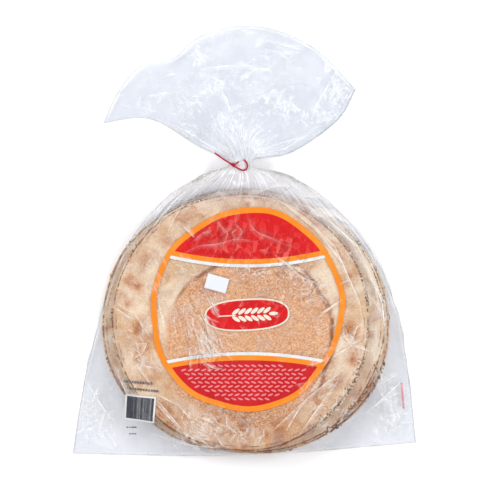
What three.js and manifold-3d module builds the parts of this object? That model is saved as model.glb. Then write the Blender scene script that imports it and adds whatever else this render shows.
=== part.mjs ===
import * as THREE from "three";
import { mergeVertices } from "three/addons/utils/BufferGeometryUtils.js";
import Module from "manifold-3d";

const wasm = await Module();
wasm.setup();

// A clear bag of round pocket breads, tied at the neck with a coated wire and lying flat on a table.
// Millimetres, +Z up. The sealed bottom of the bag points to -Y and its open mouth to +Y.
// Places in the plan are measured from the middle of the pile, and the whole is centred at the end.

// Breads: each is a flat pocket of two layers, and the pile has slid a little to both sides
const loafThickness = 7;
const loafBite = 0.5; // how far a bread settles into the one below
const rimSlit = 1.8; // depth of the groove where the two layers meet
const crease = { share: 0.59, width: 0.045, depth: 0.9 }; // ring pressed round the middle of the top bread
const pile = [
  { x: -2, y: 4, across: 262, along: 264 },
  { x: -11, y: -1, across: 266, along: 260 },
  { x: 13, y: -2, across: 266, along: 258 },
  { x: 9, y: -1, across: 264, along: 260 },
  { x: -4, y: 1, across: 255, along: 259 },
];
const pileHeight = loafThickness * pile.length - loafBite * (pile.length - 1);
const pileRim = { x: 0, y: -1, across: 262, along: 258 }; // where the film leaves the pile, on average

// Film
const filmEdge = 1.6; // the two layers at a fold or a seam
const tableGap = 0.3; // between the film and the table
const skirtTop = 10; // where the film leaves the pile: the upper breads stand clear of it
const foldLift = 6.5; // how much the pile lifts a fold that touches it
const liftReach = 18; // how far beyond the pile the lift dies out
const bottomLeft = [-174, -134];
const bottomRight = [173, -123];
const bottomSeam = curve([bottomLeft, [-60, -136], [60, -132], bottomRight]);
const neck = { x: -7, y: 159, z: 15, halfWidth: 9, halfHeight: 6.5 };
const neckLeft = [neck.x - neck.halfWidth, neck.y];
const neckRight = [neck.x + neck.halfWidth, neck.y];
const neckLine = curve([neckLeft, neckRight]);
const waist = 4; // half the straight length of the neck
const leftFold = curve([
  bottomLeft,
  [-162, -58],
  [-144, 12],
  [-122, 72],
  [-84, 121],
  [-43, 148],
  [neckLeft[0] - 3, neck.y - waist],
  neckLeft,
]);
const rightFold = curve([
  bottomRight,
  [165, -50],
  [153, 14],
  [127, 72],
  [88, 118],
  [46, 147],
  [neckRight[0] + 4, neck.y - waist],
  neckRight,
]);

// Tail: the loose end of the bag above the wire
const tailLeftTip = [-143, 200];
const tailRightTip = [112, 234];
const tailLeftEdge = curve([
  neckLeft,
  [neckLeft[0] - 3, neck.y + waist],
  [-47, 176],
  [-96, 204],
  tailLeftTip,
]);
const tailRightEdge = curve([
  neckRight,
  [neckRight[0] + 4, neck.y + waist],
  [20, 164],
  [51, 172],
  [94, 203],
  tailRightTip,
]);
const mouth = curve([
  tailLeftTip,
  [-129, 231],
  [-105, 258],
  [-74, 265],
  [-42, 289],
  [12, 298],
  [67, 278],
  tailRightTip,
]);
const tailPuff = 24; // height of the air between its layers
const mouthGap = 3;

// Pleats that run out of the neck
const pleats = 8;
const pleatDepth = 1.5;
const pleatReach = 55;

// Coated wire that ties the neck
const wire = { radius: 0.85, clearance: 0.5, slack: 0.9, droop: 6, tail: 19, stub: 7 };
const knot = { angle: 0.7 * Math.PI, ringShare: 0.97 }; // the ring stops just short of a full turn

// Price sticker on the film
const sticker = { x: -28, y: 39, across: 22, along: 15, turn: -15.5, thick: 0.4, gap: 0.6 };

// Grid steps
const loafSectors = 72;
const acrossSteps = 40;
const bodySteps = 26;
const tailSteps = 18;
const ringPoints = 22;

function curve(points) {
  return new THREE.SplineCurve(points.map(([x, y]) => new THREE.Vector2(x, y)));
}

function smooth(from, to, value) {
  return THREE.MathUtils.smoothstep(value, from, to);
}

// A closed mesh as a solid: only its places are kept, and triangles that have shrunk to a line are dropped.
function solid(geometry) {
  const bare = geometry.clone();
  bare.deleteAttribute("normal");
  bare.deleteAttribute("uv");
  const merged = mergeVertices(bare, 1e-4);
  const corners = merged.index.array;
  const kept = [];
  for (let i = 0; i < corners.length; i += 3) {
    const [a, b, c] = [corners[i], corners[i + 1], corners[i + 2]];
    if (a !== b && b !== c && c !== a) kept.push(a, b, c);
  }
  return new wasm.Manifold(
    new wasm.Mesh({
      numProp: 3,
      vertProperties: merged.attributes.position.array,
      triVerts: new Uint32Array(kept),
    }),
  );
}

function geometryOf(made) {
  const mesh = made.getMesh();
  const geometry = new THREE.BufferGeometry();
  geometry.setAttribute("position", new THREE.BufferAttribute(mesh.vertProperties, 3));
  geometry.setIndex(new THREE.BufferAttribute(mesh.triVerts, 1));
  const flat = geometry.toNonIndexed();
  flat.computeVertexNormals();
  return flat;
}

// Moves every vertex of a geometry to where place(x, y, z) puts it.
function reshape(geometry, place) {
  const spots = geometry.attributes.position;
  const at = new THREE.Vector3();
  for (let i = 0; i < spots.count; i++) {
    place(at.fromBufferAttribute(spots, i));
    spots.setXYZ(i, at.x, at.y, at.z);
  }
  return geometry;
}

// How far a bread's rim swings in and out of its ellipse.
function rimSwing(level, angle) {
  return (
    1 +
    0.007 * Math.sin(2 * angle + 2.1 * level) +
    0.005 * Math.sin(3 * angle + 1.3 * level + 0.6) +
    0.0035 * Math.sin(7 * angle + 2.7 * level)
  );
}

// The soft ups and downs of a bread's face, flat at its rim.
function faceSwell(level, x, y, share) {
  const waves =
    0.55 * Math.sin(x / 23 + level) * Math.cos(y / 27 - 0.7 * level) +
    0.4 * Math.sin((x + y) / 15 + 1.9 * level);
  return waves * (1 - smooth(0.75, 1, share));
}

function creaseDip(share) {
  const off = (share - crease.share) / crease.width;
  const plateau = 0.5 * (1 - smooth(crease.share - crease.width, crease.share + crease.width, share));
  return plateau - crease.depth * Math.exp(-off * off);
}

// One pocket bread: two layers that part at a slit round the rim.
function loaf(level) {
  const { x, y, across, along } = pile[level];
  const isTop = level === pile.length - 1;
  const half = loafThickness / 2;
  const slit = 1 - rimSlit / (across / 2);
  const faceRings = isTop ? [0.22, 0.42, 0.53, 0.59, 0.65, 0.78, 0.88] : [];
  const profile = [
    [0, -half],
    [0.965, -half],
    [0.995, -half * 0.6],
    [slit, 0],
    [1, half * 0.45],
    [0.985, half - 0.8],
    [0.955, half - 0.1],
    ...faceRings.toReversed().map((share) => [share, half]),
    [0, half],
  ].map(([share, height]) => new THREE.Vector2(share, height));
  const base = level * (loafThickness - loafBite) + half;
  return reshape(new THREE.LatheGeometry(profile, loafSectors).rotateX(Math.PI / 2), (at) => {
    const share = Math.hypot(at.x, at.y);
    const angle = Math.atan2(at.y, at.x);
    const isFace = at.z > half - 0.05;
    const reach = rimSwing(level, angle);
    const [px, py] = [(at.x * reach * across) / 2, (at.y * reach * along) / 2];
    const relief = isTop && isFace ? faceSwell(level, px, py, share) + creaseDip(share) : 0;
    at.set(x + px, y + py, base + at.z + relief);
  });
}

// A patch of the plan between four edge curves: s runs from left to right, and t from the near edge to
// the far one.
function patch(near, far, left, right, s, t) {
  const mix = THREE.MathUtils.lerp;
  const [n, f, l, r] = [near.getPoint(s), far.getPoint(s), left.getPoint(t), right.getPoint(t)];
  const [nl, nr, fl, fr] = [near.getPoint(0), near.getPoint(1), far.getPoint(0), far.getPoint(1)];
  const at = (axis) =>
    mix(n[axis], f[axis], t) +
    mix(l[axis], r[axis], s) -
    mix(mix(nl[axis], nr[axis], s), mix(fl[axis], fr[axis], s), t);
  return [at("x"), at("y")];
}

// Distance outside the rim of the pile, 0 within it.
function beyondPile(x, y) {
  const [dx, dy] = [x - pileRim.x, y - pileRim.y];
  const share = Math.hypot(dx / (pileRim.across / 2), dy / (pileRim.along / 2));
  return share > 1 ? Math.hypot(dx, dy) * (1 - 1 / share) : 0;
}

// Rises over a pleat and falls between two, most of all close to the neck, and never at the folds.
function pleat(s, distance) {
  const wave = Math.cos(2 * Math.PI * pleats * s) * archOver(s);
  return pleatDepth * wave * Math.exp(-distance / pleatReach) * smooth(2, 14, distance);
}

// 0 at both folds and 1 midway between them.
function archOver(s) {
  return Math.max(0, Math.sin(Math.PI * s)) ** 0.7;
}

// Half the round section of the gathered neck.
function neckRise(s) {
  return Math.sqrt(Math.max(0, 1 - (2 * s - 1) ** 2)) * neck.halfHeight;
}

// Height of the upper (side 1) or the lower (side -1) layer of film round the pile. The film under and
// inside the breads only joins them.
function bodyHeight(s, t, x, y, side) {
  const left = leftFold.getPoint(t);
  const right = rightFold.getPoint(t);
  const outside = beyondPile(x, y);
  const toFold = Math.min(s, 1 - s) * (right.x - left.x);
  const toSeam = y - bottomSeam.getPoint(s).y;
  const inward = Math.max(0, Math.min(toFold, toSeam));
  const cling = inward / (inward + outside + 1e-6);
  const middle = filmEdge / 2 + tableGap + foldLift * Math.exp(-outside / liftReach);
  const upper = THREE.MathUtils.lerp(middle + filmEdge / 2, skirtTop, cling ** 1.5);
  const lower = Math.max(tableGap, (middle - filmEdge / 2) * (1 - Math.sqrt(cling)));
  const fromNeck = Math.hypot(x - neck.x, y - neck.y);
  const gathered = 1 - smooth(6, 46, fromNeck);
  const rise = side > 0 ? upper : lower;
  const bundle = neck.z + side * (neckRise(s) + filmEdge / 2);
  const ridge = side * pleat(s, fromNeck) * (1 - cling ** 2);
  return Math.max(tableGap, THREE.MathUtils.lerp(rise, bundle, gathered) + ridge);
}

// Height of the tail's layers, from the neck (t 0) to the open mouth (t 1).
function tailHeight(s, t, x, y, side) {
  const fromNeck = Math.hypot(x - neck.x, y - neck.y);
  const across = archOver(s);
  const air = tailPuff * Math.sin(Math.PI * THREE.MathUtils.lerp(0.08, 1, t)) ** 0.8 + mouthGap * t ** 3;
  const fall = smooth(4, 60, fromNeck);
  const folds = 1.6 * Math.sin(2 * Math.PI * (3 * s + 0.4 * t)) * smooth(0.2, 0.9, t) * across;
  const edge = THREE.MathUtils.lerp(neck.z, filmEdge / 2 + tableGap + 3 * across * t, fall);
  const upper = edge + filmEdge / 2 + air * across + folds;
  const lower = edge - filmEdge / 2;
  const bundle = neck.z + side * (neckRise(s) + filmEdge / 2);
  const ridge = side * pleat(s, fromNeck);
  const rise = side > 0 ? upper : lower;
  return Math.max(tableGap, THREE.MathUtils.lerp(bundle, rise, smooth(3, 42, fromNeck)) + ridge);
}

// The film from the bottom seam through the neck to the mouth, as one closed skin over its own space.
function film() {
  const steps = bodySteps + tailSteps;
  return reshape(new THREE.BoxGeometry(1, 1, 1, acrossSteps, steps, 1), (at) => {
    const s = THREE.MathUtils.clamp(at.x + 0.5, 0, 1);
    const row = Math.round((at.y + 0.5) * steps);
    const inBody = row <= bodySteps;
    const t = inBody ? row / bodySteps : (row - bodySteps) / tailSteps;
    const along = inBody ? 1 - (1 - t) ** 1.15 : t ** 1.35;
    const [x, y] = inBody
      ? patch(bottomSeam, neckLine, leftFold, rightFold, s, along)
      : patch(neckLine, mouth, tailLeftEdge, tailRightEdge, s, along);
    const height = inBody ? bodyHeight : tailHeight;
    at.set(x, y, height(s, along, x, y, Math.sign(at.z)));
  });
}

function breadBag() {
  let made = solid(film());
  for (let level = 0; level < pile.length; level++) made = made.add(solid(loaf(level)));
  return geometryOf(made);
}

function wireTube(points, steps) {
  const path = new THREE.CatmullRomCurve3(points.map(([x, y, z]) => new THREE.Vector3(x, y, z)));
  const section = new THREE.Shape().absarc(0, 0, wire.radius, 0, 2 * Math.PI, false);
  return new THREE.ExtrudeGeometry(section, { curveSegments: 4, steps, extrudePath: path });
}

// A place on the ring of wire round the neck. Its front half hangs towards the breads.
function ringPoint(angle) {
  const off = wire.clearance + wire.radius + filmEdge / 2;
  const lean = Math.sin(angle);
  const front = Math.max(0, lean) ** 2;
  const x = neck.x + (neck.halfWidth + off + wire.slack) * Math.cos(angle);
  const z = neck.z + (neck.halfHeight + off + wire.slack) * lean + wire.slack * front;
  return [x, neck.y - wire.droop * front, z];
}

// Both ends cross in a twist at the front left of the ring: one stays long, and the other is cut short.
function twistTie() {
  const [kx, ky, kz] = ringPoint(knot.angle);
  const lift = 2 * wire.radius;
  const ring = [];
  for (let i = 0; i <= ringPoints; i++) {
    ring.push(ringPoint(knot.angle - (2 * Math.PI * knot.ringShare * i) / ringPoints));
  }
  const longEnd = [
    [kx + 1.5, ky - 1.2, kz + 0.4],
    [kx - 1, ky + 1, kz + lift * 0.6],
    [kx - wire.tail * 0.5, ky + wire.tail * 0.32, kz + 1.5],
    [kx - wire.tail * 0.87, ky + wire.tail * 0.5, kz + 0.5],
  ];
  const shortEnd = [
    [kx - 1.6, ky - 0.4, kz + lift * 0.4],
    [kx + 1.4, ky + 0.6, kz + lift],
    [kx + wire.stub, ky + 2.2, kz + lift * 1.1],
  ];
  const parts = [wireTube(ring, 2 * ringPoints), wireTube(longEnd, 10), wireTube(shortEnd, 6)];
  return geometryOf(parts.map(solid).reduce((all, next) => all.add(next)));
}

// A thin paper square that follows the top bread's face.
function priceSticker() {
  const top = pile.length - 1;
  const { x: cx, y: cy, across, along } = pile[top];
  const turned = new THREE.BoxGeometry(sticker.across, sticker.along, sticker.thick, 6, 4, 1)
    .rotateZ(THREE.MathUtils.degToRad(sticker.turn))
    .translate(sticker.x, sticker.y, 0);
  return reshape(turned, (at) => {
    const share = Math.hypot((at.x - cx) / (across / 2), (at.y - cy) / (along / 2));
    const face = pileHeight + faceSwell(top, at.x - cx, at.y - cy, share) + creaseDip(share);
    at.z += face + sticker.gap + sticker.thick / 2;
  });
}

function piece(name, geometry, color, roughness) {
  const material = new THREE.MeshStandardMaterial({ color, roughness, metalness: 0 });
  const mesh = new THREE.Mesh(geometry, material);
  mesh.name = name;
  return mesh;
}

const bag = new THREE.Group();
bag.add(
  piece("bread_bag", breadBag(), 0xdcbb9c, 0.45),
  piece("twist_tie", twistTie(), 0xc8102e, 0.4),
  piece("price_sticker", priceSticker(), 0xf2f4f8, 0.6),
);
const bounds = new THREE.Box3().setFromObject(bag);
const middle = bounds.getCenter(new THREE.Vector3());
bag.position.set(-middle.x, -middle.y, -bounds.min.z);

export default bag;
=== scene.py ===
import math

import bpy
import numpy as np
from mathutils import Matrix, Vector
from mathutils.bvhtree import BVHTree
from mathutils.kdtree import KDTree


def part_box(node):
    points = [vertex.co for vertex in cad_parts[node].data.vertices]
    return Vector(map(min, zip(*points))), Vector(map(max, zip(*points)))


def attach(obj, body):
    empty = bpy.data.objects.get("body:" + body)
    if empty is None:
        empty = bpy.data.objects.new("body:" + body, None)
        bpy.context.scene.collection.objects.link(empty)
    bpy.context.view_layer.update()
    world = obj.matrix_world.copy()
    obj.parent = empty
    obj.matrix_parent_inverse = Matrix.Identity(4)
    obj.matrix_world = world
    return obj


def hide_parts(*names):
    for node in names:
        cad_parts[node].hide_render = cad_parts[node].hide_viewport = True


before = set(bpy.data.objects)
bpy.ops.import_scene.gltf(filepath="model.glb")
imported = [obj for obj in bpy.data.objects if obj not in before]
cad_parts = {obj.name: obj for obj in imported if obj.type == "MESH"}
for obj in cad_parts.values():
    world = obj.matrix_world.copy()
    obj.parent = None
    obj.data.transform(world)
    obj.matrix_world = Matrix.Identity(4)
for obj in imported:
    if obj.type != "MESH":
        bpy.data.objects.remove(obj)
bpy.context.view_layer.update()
scene = bpy.context.scene
scene.view_settings.view_transform = "Standard"

# Sizes and places are in millimetres, measured in the plan from the middle of the pile.
# A mesh is turned into metres, and moved into the frame, where it is made.
mm = 0.001

sticker = {
    "x": -28, "y": 39, "across": 22, "along": 15,
    "turn": -15.5, "lift": 0.7, "step": 1.1, "thick": 0.12,
}
stickerLow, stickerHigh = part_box("price_sticker")
stickerMiddle = (stickerLow + stickerHigh) / 2 / mm
shift = np.array([stickerMiddle.x - sticker["x"], stickerMiddle.y - sticker["y"], 0])


# Numbers

def smoothStep(low, high, value):
    share = np.clip((value - low) / (high - low), 0, 1)
    return share * share * (3 - 2 * share)


def blendOf(a, b, share):
    return a + (b - a) * share


def hump(x, y, middleX, middleY, reach):  # 1 in the middle, 0 far from it
    return np.exp(-((x - middleX) ** 2 + (y - middleY) ** 2) / reach**2)


def unitOf(rows):
    return rows / np.maximum(np.linalg.norm(rows, axis=-1, keepdims=True), 1e-9)


def alongCurve(points, share):  # the same smooth curve through the points that the solids have
    points = np.array(points, float)
    last = len(points) - 1
    place = np.clip(np.asarray(share, float), 0, 1) * last
    first = np.minimum(np.floor(place).astype(int), last - 1)
    w = (place - first)[..., None]
    before, start = points[np.maximum(first - 1, 0)], points[first]
    end, after = points[first + 1], points[np.minimum(first + 2, last)]
    startPull = (end - before) / 2
    endPull = (after - start) / 2
    cubic = 2 * start - 2 * end + startPull + endPull
    square = -3 * start + 3 * end - 2 * startPull - endPull
    return cubic * w**3 + square * w**2 + startPull * w + start


def patchOf(near, far, left, right, s, t):  # a patch of the plan between four edge curves
    n, f = alongCurve(near, s), alongCurve(far, s)
    l, r = alongCurve(left, t), alongCurve(right, t)
    corners = np.array([near[0], near[-1], far[0], far[-1]], float)
    s, t = s[..., None], t[..., None]
    ends = blendOf(blendOf(corners[0], corners[1], s), blendOf(corners[2], corners[3], s), t)
    return blendOf(n, f, t) + blendOf(l, r, s) - ends


def segmentDistance(x, y, start, end):  # how far from a straight line, and how far along it
    dx, dy = end[0] - start[0], end[1] - start[1]
    share = np.clip(((x - start[0]) * dx + (y - start[1]) * dy) / (dx * dx + dy * dy), 0, 1)
    return np.hypot(x - start[0] - share * dx, y - start[1] - share * dy), share


def turnedTo(spot, turn, x, y):  # a flat shape, turned by so many degrees and moved to its spot
    c, s = math.cos(math.radians(turn)), math.sin(math.radians(turn))
    return np.stack([spot["x"] + c * x - s * y, spot["y"] + s * x + c * y], axis=-1)


# Meshes

def toFrame(points):
    return (np.array(points, float).reshape(-1, 3) + shift) * mm


def carry(mesh, values):  # numbers that the mesh carries at each point
    for label, numbers in values.items():
        attribute = mesh.attributes.new(label, "FLOAT", "POINT")
        attribute.data.foreach_set("value", np.asarray(numbers, np.float32).ravel())


def addObject(name, data):
    thing = bpy.data.objects.new(name, data)
    scene.collection.objects.link(thing)
    return thing


def makePiece(name, points, faces, material, values=None, uvs=None):
    mesh = bpy.data.meshes.new(name)
    mesh.from_pydata(toFrame(points).tolist(), [], faces)
    mesh.polygons.foreach_set("use_smooth", [True] * len(mesh.polygons))
    carry(mesh, values or {})
    if uvs is not None:
        layer = mesh.uv_layers.new(name="UVMap")
        corners = np.zeros(len(mesh.loops), np.int32)
        mesh.loops.foreach_get("vertex_index", corners)
        layer.data.foreach_set("uv", np.asarray(uvs, np.float32)[corners].ravel())
    mesh.materials.append(material)
    mesh.update()
    return addObject(name, mesh)


def gridFaces(rows, columns, ring=False):
    faces = []
    for row in range(rows - 1):
        for column in range(columns if ring else columns - 1):
            a, b = row * columns + column, row * columns + (column + 1) % columns
            faces.append((a, b, b + columns, a + columns))
    return faces


def shiftFaces(faces, start):
    return [tuple(corner + start for corner in face) for face in faces]


def gridNormals(grid):
    return unitOf(np.cross(np.gradient(grid, axis=1), np.gradient(grid, axis=0)))


def meshPoints(piece):
    numbers = np.zeros(len(piece.data.vertices) * 3, np.float32)
    piece.data.vertices.foreach_get("co", numbers)
    return numbers.reshape(-1, 3).astype(float)


def setPoints(piece, points):
    piece.data.vertices.foreach_set("co", np.asarray(points, np.float32).ravel())
    piece.data.update()


def dropOn(tree, x, y):  # where a ray from above meets the surfaces of a tree, and on which face
    spot, normal, face, reach = tree.ray_cast(Vector((x, y, 80)), Vector((0, 0, -1)))
    return spot, face


# Node trees

class Field:  # what a node puts out, which is reckoned with as a number is
    def __init__(self, socket):
        self.socket, self.tree = socket, socket.id_data

    def __add__(self, other):
        return calc("ADD", self, other)

    def __sub__(self, other):
        return calc("SUBTRACT", self, other)

    def __rsub__(self, other):
        return calc("SUBTRACT", other, self)

    def __mul__(self, other):
        return calc("MULTIPLY", self, other)

    def __truediv__(self, other):
        return calc("DIVIDE", self, other)

    def __rtruediv__(self, other):
        return calc("DIVIDE", other, self)


def feed(socket, value):
    if isinstance(value, Field):
        value.tree.links.new(value.socket, socket)
    elif value is not None:
        socket.default_value = value


# The values go to the node's sockets in their order, and None leaves one as it is
def addNode(tree, kind, *values, **settings):
    node = tree.nodes.new(kind)
    for name, value in settings.items():
        setattr(node, name, value)
    for socket, value in zip(node.inputs, values):
        feed(socket, value)
    return node


def outOf(tree, kind, *values, **settings):
    return Field(addNode(tree, kind, *values, **settings).outputs[0])


def calc(operation, *values, kind="ShaderNodeMath"):
    tree = next(value.tree for value in values if isinstance(value, Field))
    return outOf(tree, kind, *values, operation=operation)


def vectorCalc(operation, *values):
    return calc(operation, *values, kind="ShaderNodeVectorMath")


def most(value, *others):
    for other in others:
        value = calc("MAXIMUM", value, other)
    return value


def clamped(value):  # kept between 0 and 1
    value.socket.node.use_clamp = True
    return value


def combine(tree, *values):
    return outOf(tree, "ShaderNodeCombineXYZ", *values)


def split(value):
    return [Field(socket) for socket in addNode(value.tree, "ShaderNodeSeparateXYZ", value).outputs]


def ramp(value, low, high, toLow=0.0, toHigh=1.0, kind="SMOOTHSTEP"):
    numbers = (value, low, high, toLow, toHigh)
    return outOf(value.tree, "ShaderNodeMapRange", *numbers, interpolation_type=kind, clamp=True)


def mixColors(share, first, second, blend="MIX"):
    node = addNode(share.tree, "ShaderNodeMix", share, data_type="RGBA", blend_type=blend)
    for socket, value in zip(node.inputs[6:], (first, second)):
        feed(socket, (*value, 1) if isinstance(value, tuple) else value)
    return Field(node.outputs[2])


def noiseOf(place, scale, detail=2.0, roughness=0.5, distortion=0.0, output="Fac"):
    node = addNode(place.tree, "ShaderNodeTexNoise", place, None, scale, detail, roughness)
    node.inputs["Distortion"].default_value = distortion
    return Field(node.outputs[output])


def voronoiOf(place, scale, feature, dimensions="3D", output="Distance"):
    node = addNode(place.tree, "ShaderNodeTexVoronoi", place, feature=feature, voronoi_dimensions=dimensions)
    node.inputs["Scale"].default_value = scale
    return Field(node.outputs[output])


def newTree(name, kind, inputs, outputs):  # a socket is of the kind that its value has
    tree = bpy.data.node_groups.new(name, kind)
    kinds = {int: "Int", float: "Float", tuple: "Vector"}
    for label, value in inputs.items():
        socketType = "NodeSocket" + kinds[type(value)]
        tree.interface.new_socket(label, in_out="INPUT", socket_type=socketType).default_value = value
    if kind == "GeometryNodeTree":
        tree.interface.new_socket("Material", in_out="INPUT", socket_type="NodeSocketMaterial")
    for label, socketType in outputs.items():
        tree.interface.new_socket(label, in_out="OUTPUT", socket_type=socketType)
    start, end = tree.nodes.new("NodeGroupInput"), tree.nodes.new("NodeGroupOutput")
    return tree, {socket.name: Field(socket) for socket in start.outputs}, end


def shaderGroup(name, inputs, *outputs):
    return newTree(name, "ShaderNodeTree", inputs, {label: "NodeSocketFloat" for label in outputs})


def geometryTree(name, inputs):
    return newTree(name, "GeometryNodeTree", inputs, {"Geometry": "NodeSocketGeometry"})


def useGroup(group, place, *values):
    node = addNode(place.tree, "ShaderNodeGroup", node_tree=group)
    for socket, value in zip(node.inputs, (place, *values)):
        feed(socket, value)
    return {socket.name: Field(socket) for socket in node.outputs}


def scatter(points, shape, turn, size):
    return outOf(points.tree, "GeometryNodeInstanceOnPoints", points, None, shape, None, None, turn, size)


def randomOf(tree, low, high, seed):
    node = addNode(tree, "FunctionNodeRandomValue", None, None, low, high, data_type="FLOAT")
    feed(node.inputs["Seed"], seed)
    return Field(node.outputs[1])


def endTree(take, end, geometry):
    tree = geometry.tree
    realized = outOf(tree, "GeometryNodeRealizeInstances", geometry)
    feed(end.inputs[0], outOf(tree, "GeometryNodeSetMaterial", realized, None, take["Material"]))
    return tree


def growMesh(name, tree, material, values):  # runs a tree and gives its result back as a plain mesh
    holder = addObject(name, bpy.data.meshes.new(name))
    modifier = holder.modifiers.new(name, "NODES")
    modifier.node_group = tree
    values = {**values, "Material": material}
    for item in tree.interface.items_tree:
        if item.in_out == "INPUT" and item.name in values:
            modifier[item.identifier] = values[item.name]
    graph = bpy.context.evaluated_depsgraph_get()
    evaluated = holder.evaluated_get(graph)
    mesh = bpy.data.meshes.new_from_object(evaluated, preserve_all_data_layers=True, depsgraph=graph)
    holder.modifiers.clear()
    holder.data = mesh
    mesh.name = name
    return holder


# Shader groups

# Film pressed into facets: the straight creases between them, and which way each facet leans
def crinkleGroup():
    tree, take, end = shaderGroup(
        "crinkle",
        {"Place": (0, 0, 0), "Cell": 20.0, "Line": 0.6, "Bare": 0.5, "Warp": 0.4, "Shift": (0, 0, 0)},
        "Crease",
        "Lean",
        "Height",
    )
    sized = vectorCalc("MULTIPLY", vectorCalc("ADD", take["Place"], take["Shift"]), 1.0 / take["Cell"])
    cloud = vectorCalc("SUBTRACT", noiseOf(sized, 0.7, output="Color"), (0.5, 0.5, 0.5))
    place = vectorCalc("ADD", sized, vectorCalc("MULTIPLY", cloud, take["Warp"] * 4.0))
    here = voronoiOf(place, 1.0, "DISTANCE_TO_EDGE", "2D")
    aside = voronoiOf(vectorCalc("ADD", place, (-0.03, 0.052, 0)), 1.0, "DISTANCE_TO_EDGE", "2D")
    reach = here * take["Cell"]
    kept = ramp(voronoiOf(place, 0.62, "F1", "2D", "Color"), take["Bare"], 1.0, kind="LINEAR")
    feed(end.inputs["Crease"], (1.0 - ramp(reach, 0.0, take["Line"])) * kept)
    feed(end.inputs["Lean"], (aside - here) / 0.06)
    feed(end.inputs["Height"], reach)
    return tree


def speckleGroup():  # uneven grains, as flour and bran leave on a crust
    inputs = {"Place": (0, 0, 0), "Size": 1.5, "Amount": 0.5, "Softness": 0.1}
    tree, take, end = shaderGroup("speckle", inputs, "Mask", "Field")
    field = noiseOf(take["Place"], 1.0 / take["Size"], 3.0, 0.62)
    edge = 1.0 - take["Amount"]
    feed(end.inputs["Mask"], ramp(field, edge - take["Softness"], edge + take["Softness"]))
    feed(end.inputs["Field"], field)
    return tree


crinkle = crinkleGroup()
speckle = speckleGroup()


# Materials

filmLook = {
    "veil": (0.22, 0.29, 0.43),
    # the colour of the painted highlights on the film
    "crease": (0.93, 0.94, 0.96),
    "clear": 0.095,
    "cloudy": 0.035,
    "touching": 0.6,  # how much of the veil goes where the film lies on a bread
    "cloud": 30.0,
    "bigCell": 34.0,
    "smallCell": 10.0,
    "line": 0.5,
    "glint": 0.42,
    "gathered": 0.04,
    "bundled": 0.53,
    # painted shade and painted highlight of the streaks in the gathered film
    "bundleDark": (0.74, 0.73, 0.77),
    "bundleLight": (0.85, 0.84, 0.87),
}
tailLook = {
    **filmLook,
    "veil": (0.25, 0.32, 0.46),
    "clear": 0.135,
    "cloudy": 0.03,
    "bigCell": 44.0,
    "smallCell": 12.0,
    "gathered": 0.02,
    "bundled": 0.4,
    # painted shade and painted highlight of the streaks in the gathered film
    "bundleDark": (0.68, 0.73, 0.82),
    "bundleLight": (0.9, 0.92, 0.97),
}
warmLight = (1.0, 0.91, 0.82)  # the colour of a painted highlight where the film lies on a bread


def newMaterial(name, roughness, specular):  # with its shader, and its place in millimetres of the plan
    material = bpy.data.materials.new(name)
    material.use_nodes = True
    tree = material.node_tree
    shader = tree.nodes["Principled BSDF"]
    shader.inputs["Roughness"].default_value = roughness
    shader.inputs["Specular IOR Level"].default_value = specular
    coordinates = Field(addNode(tree, "ShaderNodeTexCoord").outputs["Object"])
    place = outOf(tree, "ShaderNodeMapping", coordinates, tuple(-shift), None, (1 / mm, 1 / mm, 1 / mm))
    return material, shader, place


def spreadFlat(place):  # lays the pattern out flat, and keeps it from streaking where the surface is steep
    x, y, z = split(place)
    return combine(place.tree, z * 0.5 + x, z * -0.5 + y)


def valueOf(shader, label):  # a number that the mesh carries at each point
    return Field(addNode(shader.id_data, "ShaderNodeAttribute", attribute_name=label).outputs["Fac"])


def addBump(shader, height, distance):
    bump = addNode(shader.id_data, "ShaderNodeBump")
    feed(bump.inputs["Height"], height)
    bump.inputs["Distance"].default_value = distance * mm
    bump.inputs["Strength"].default_value = 1.0
    feed(shader.inputs["Normal"], Field(bump.outputs["Normal"]))


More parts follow.
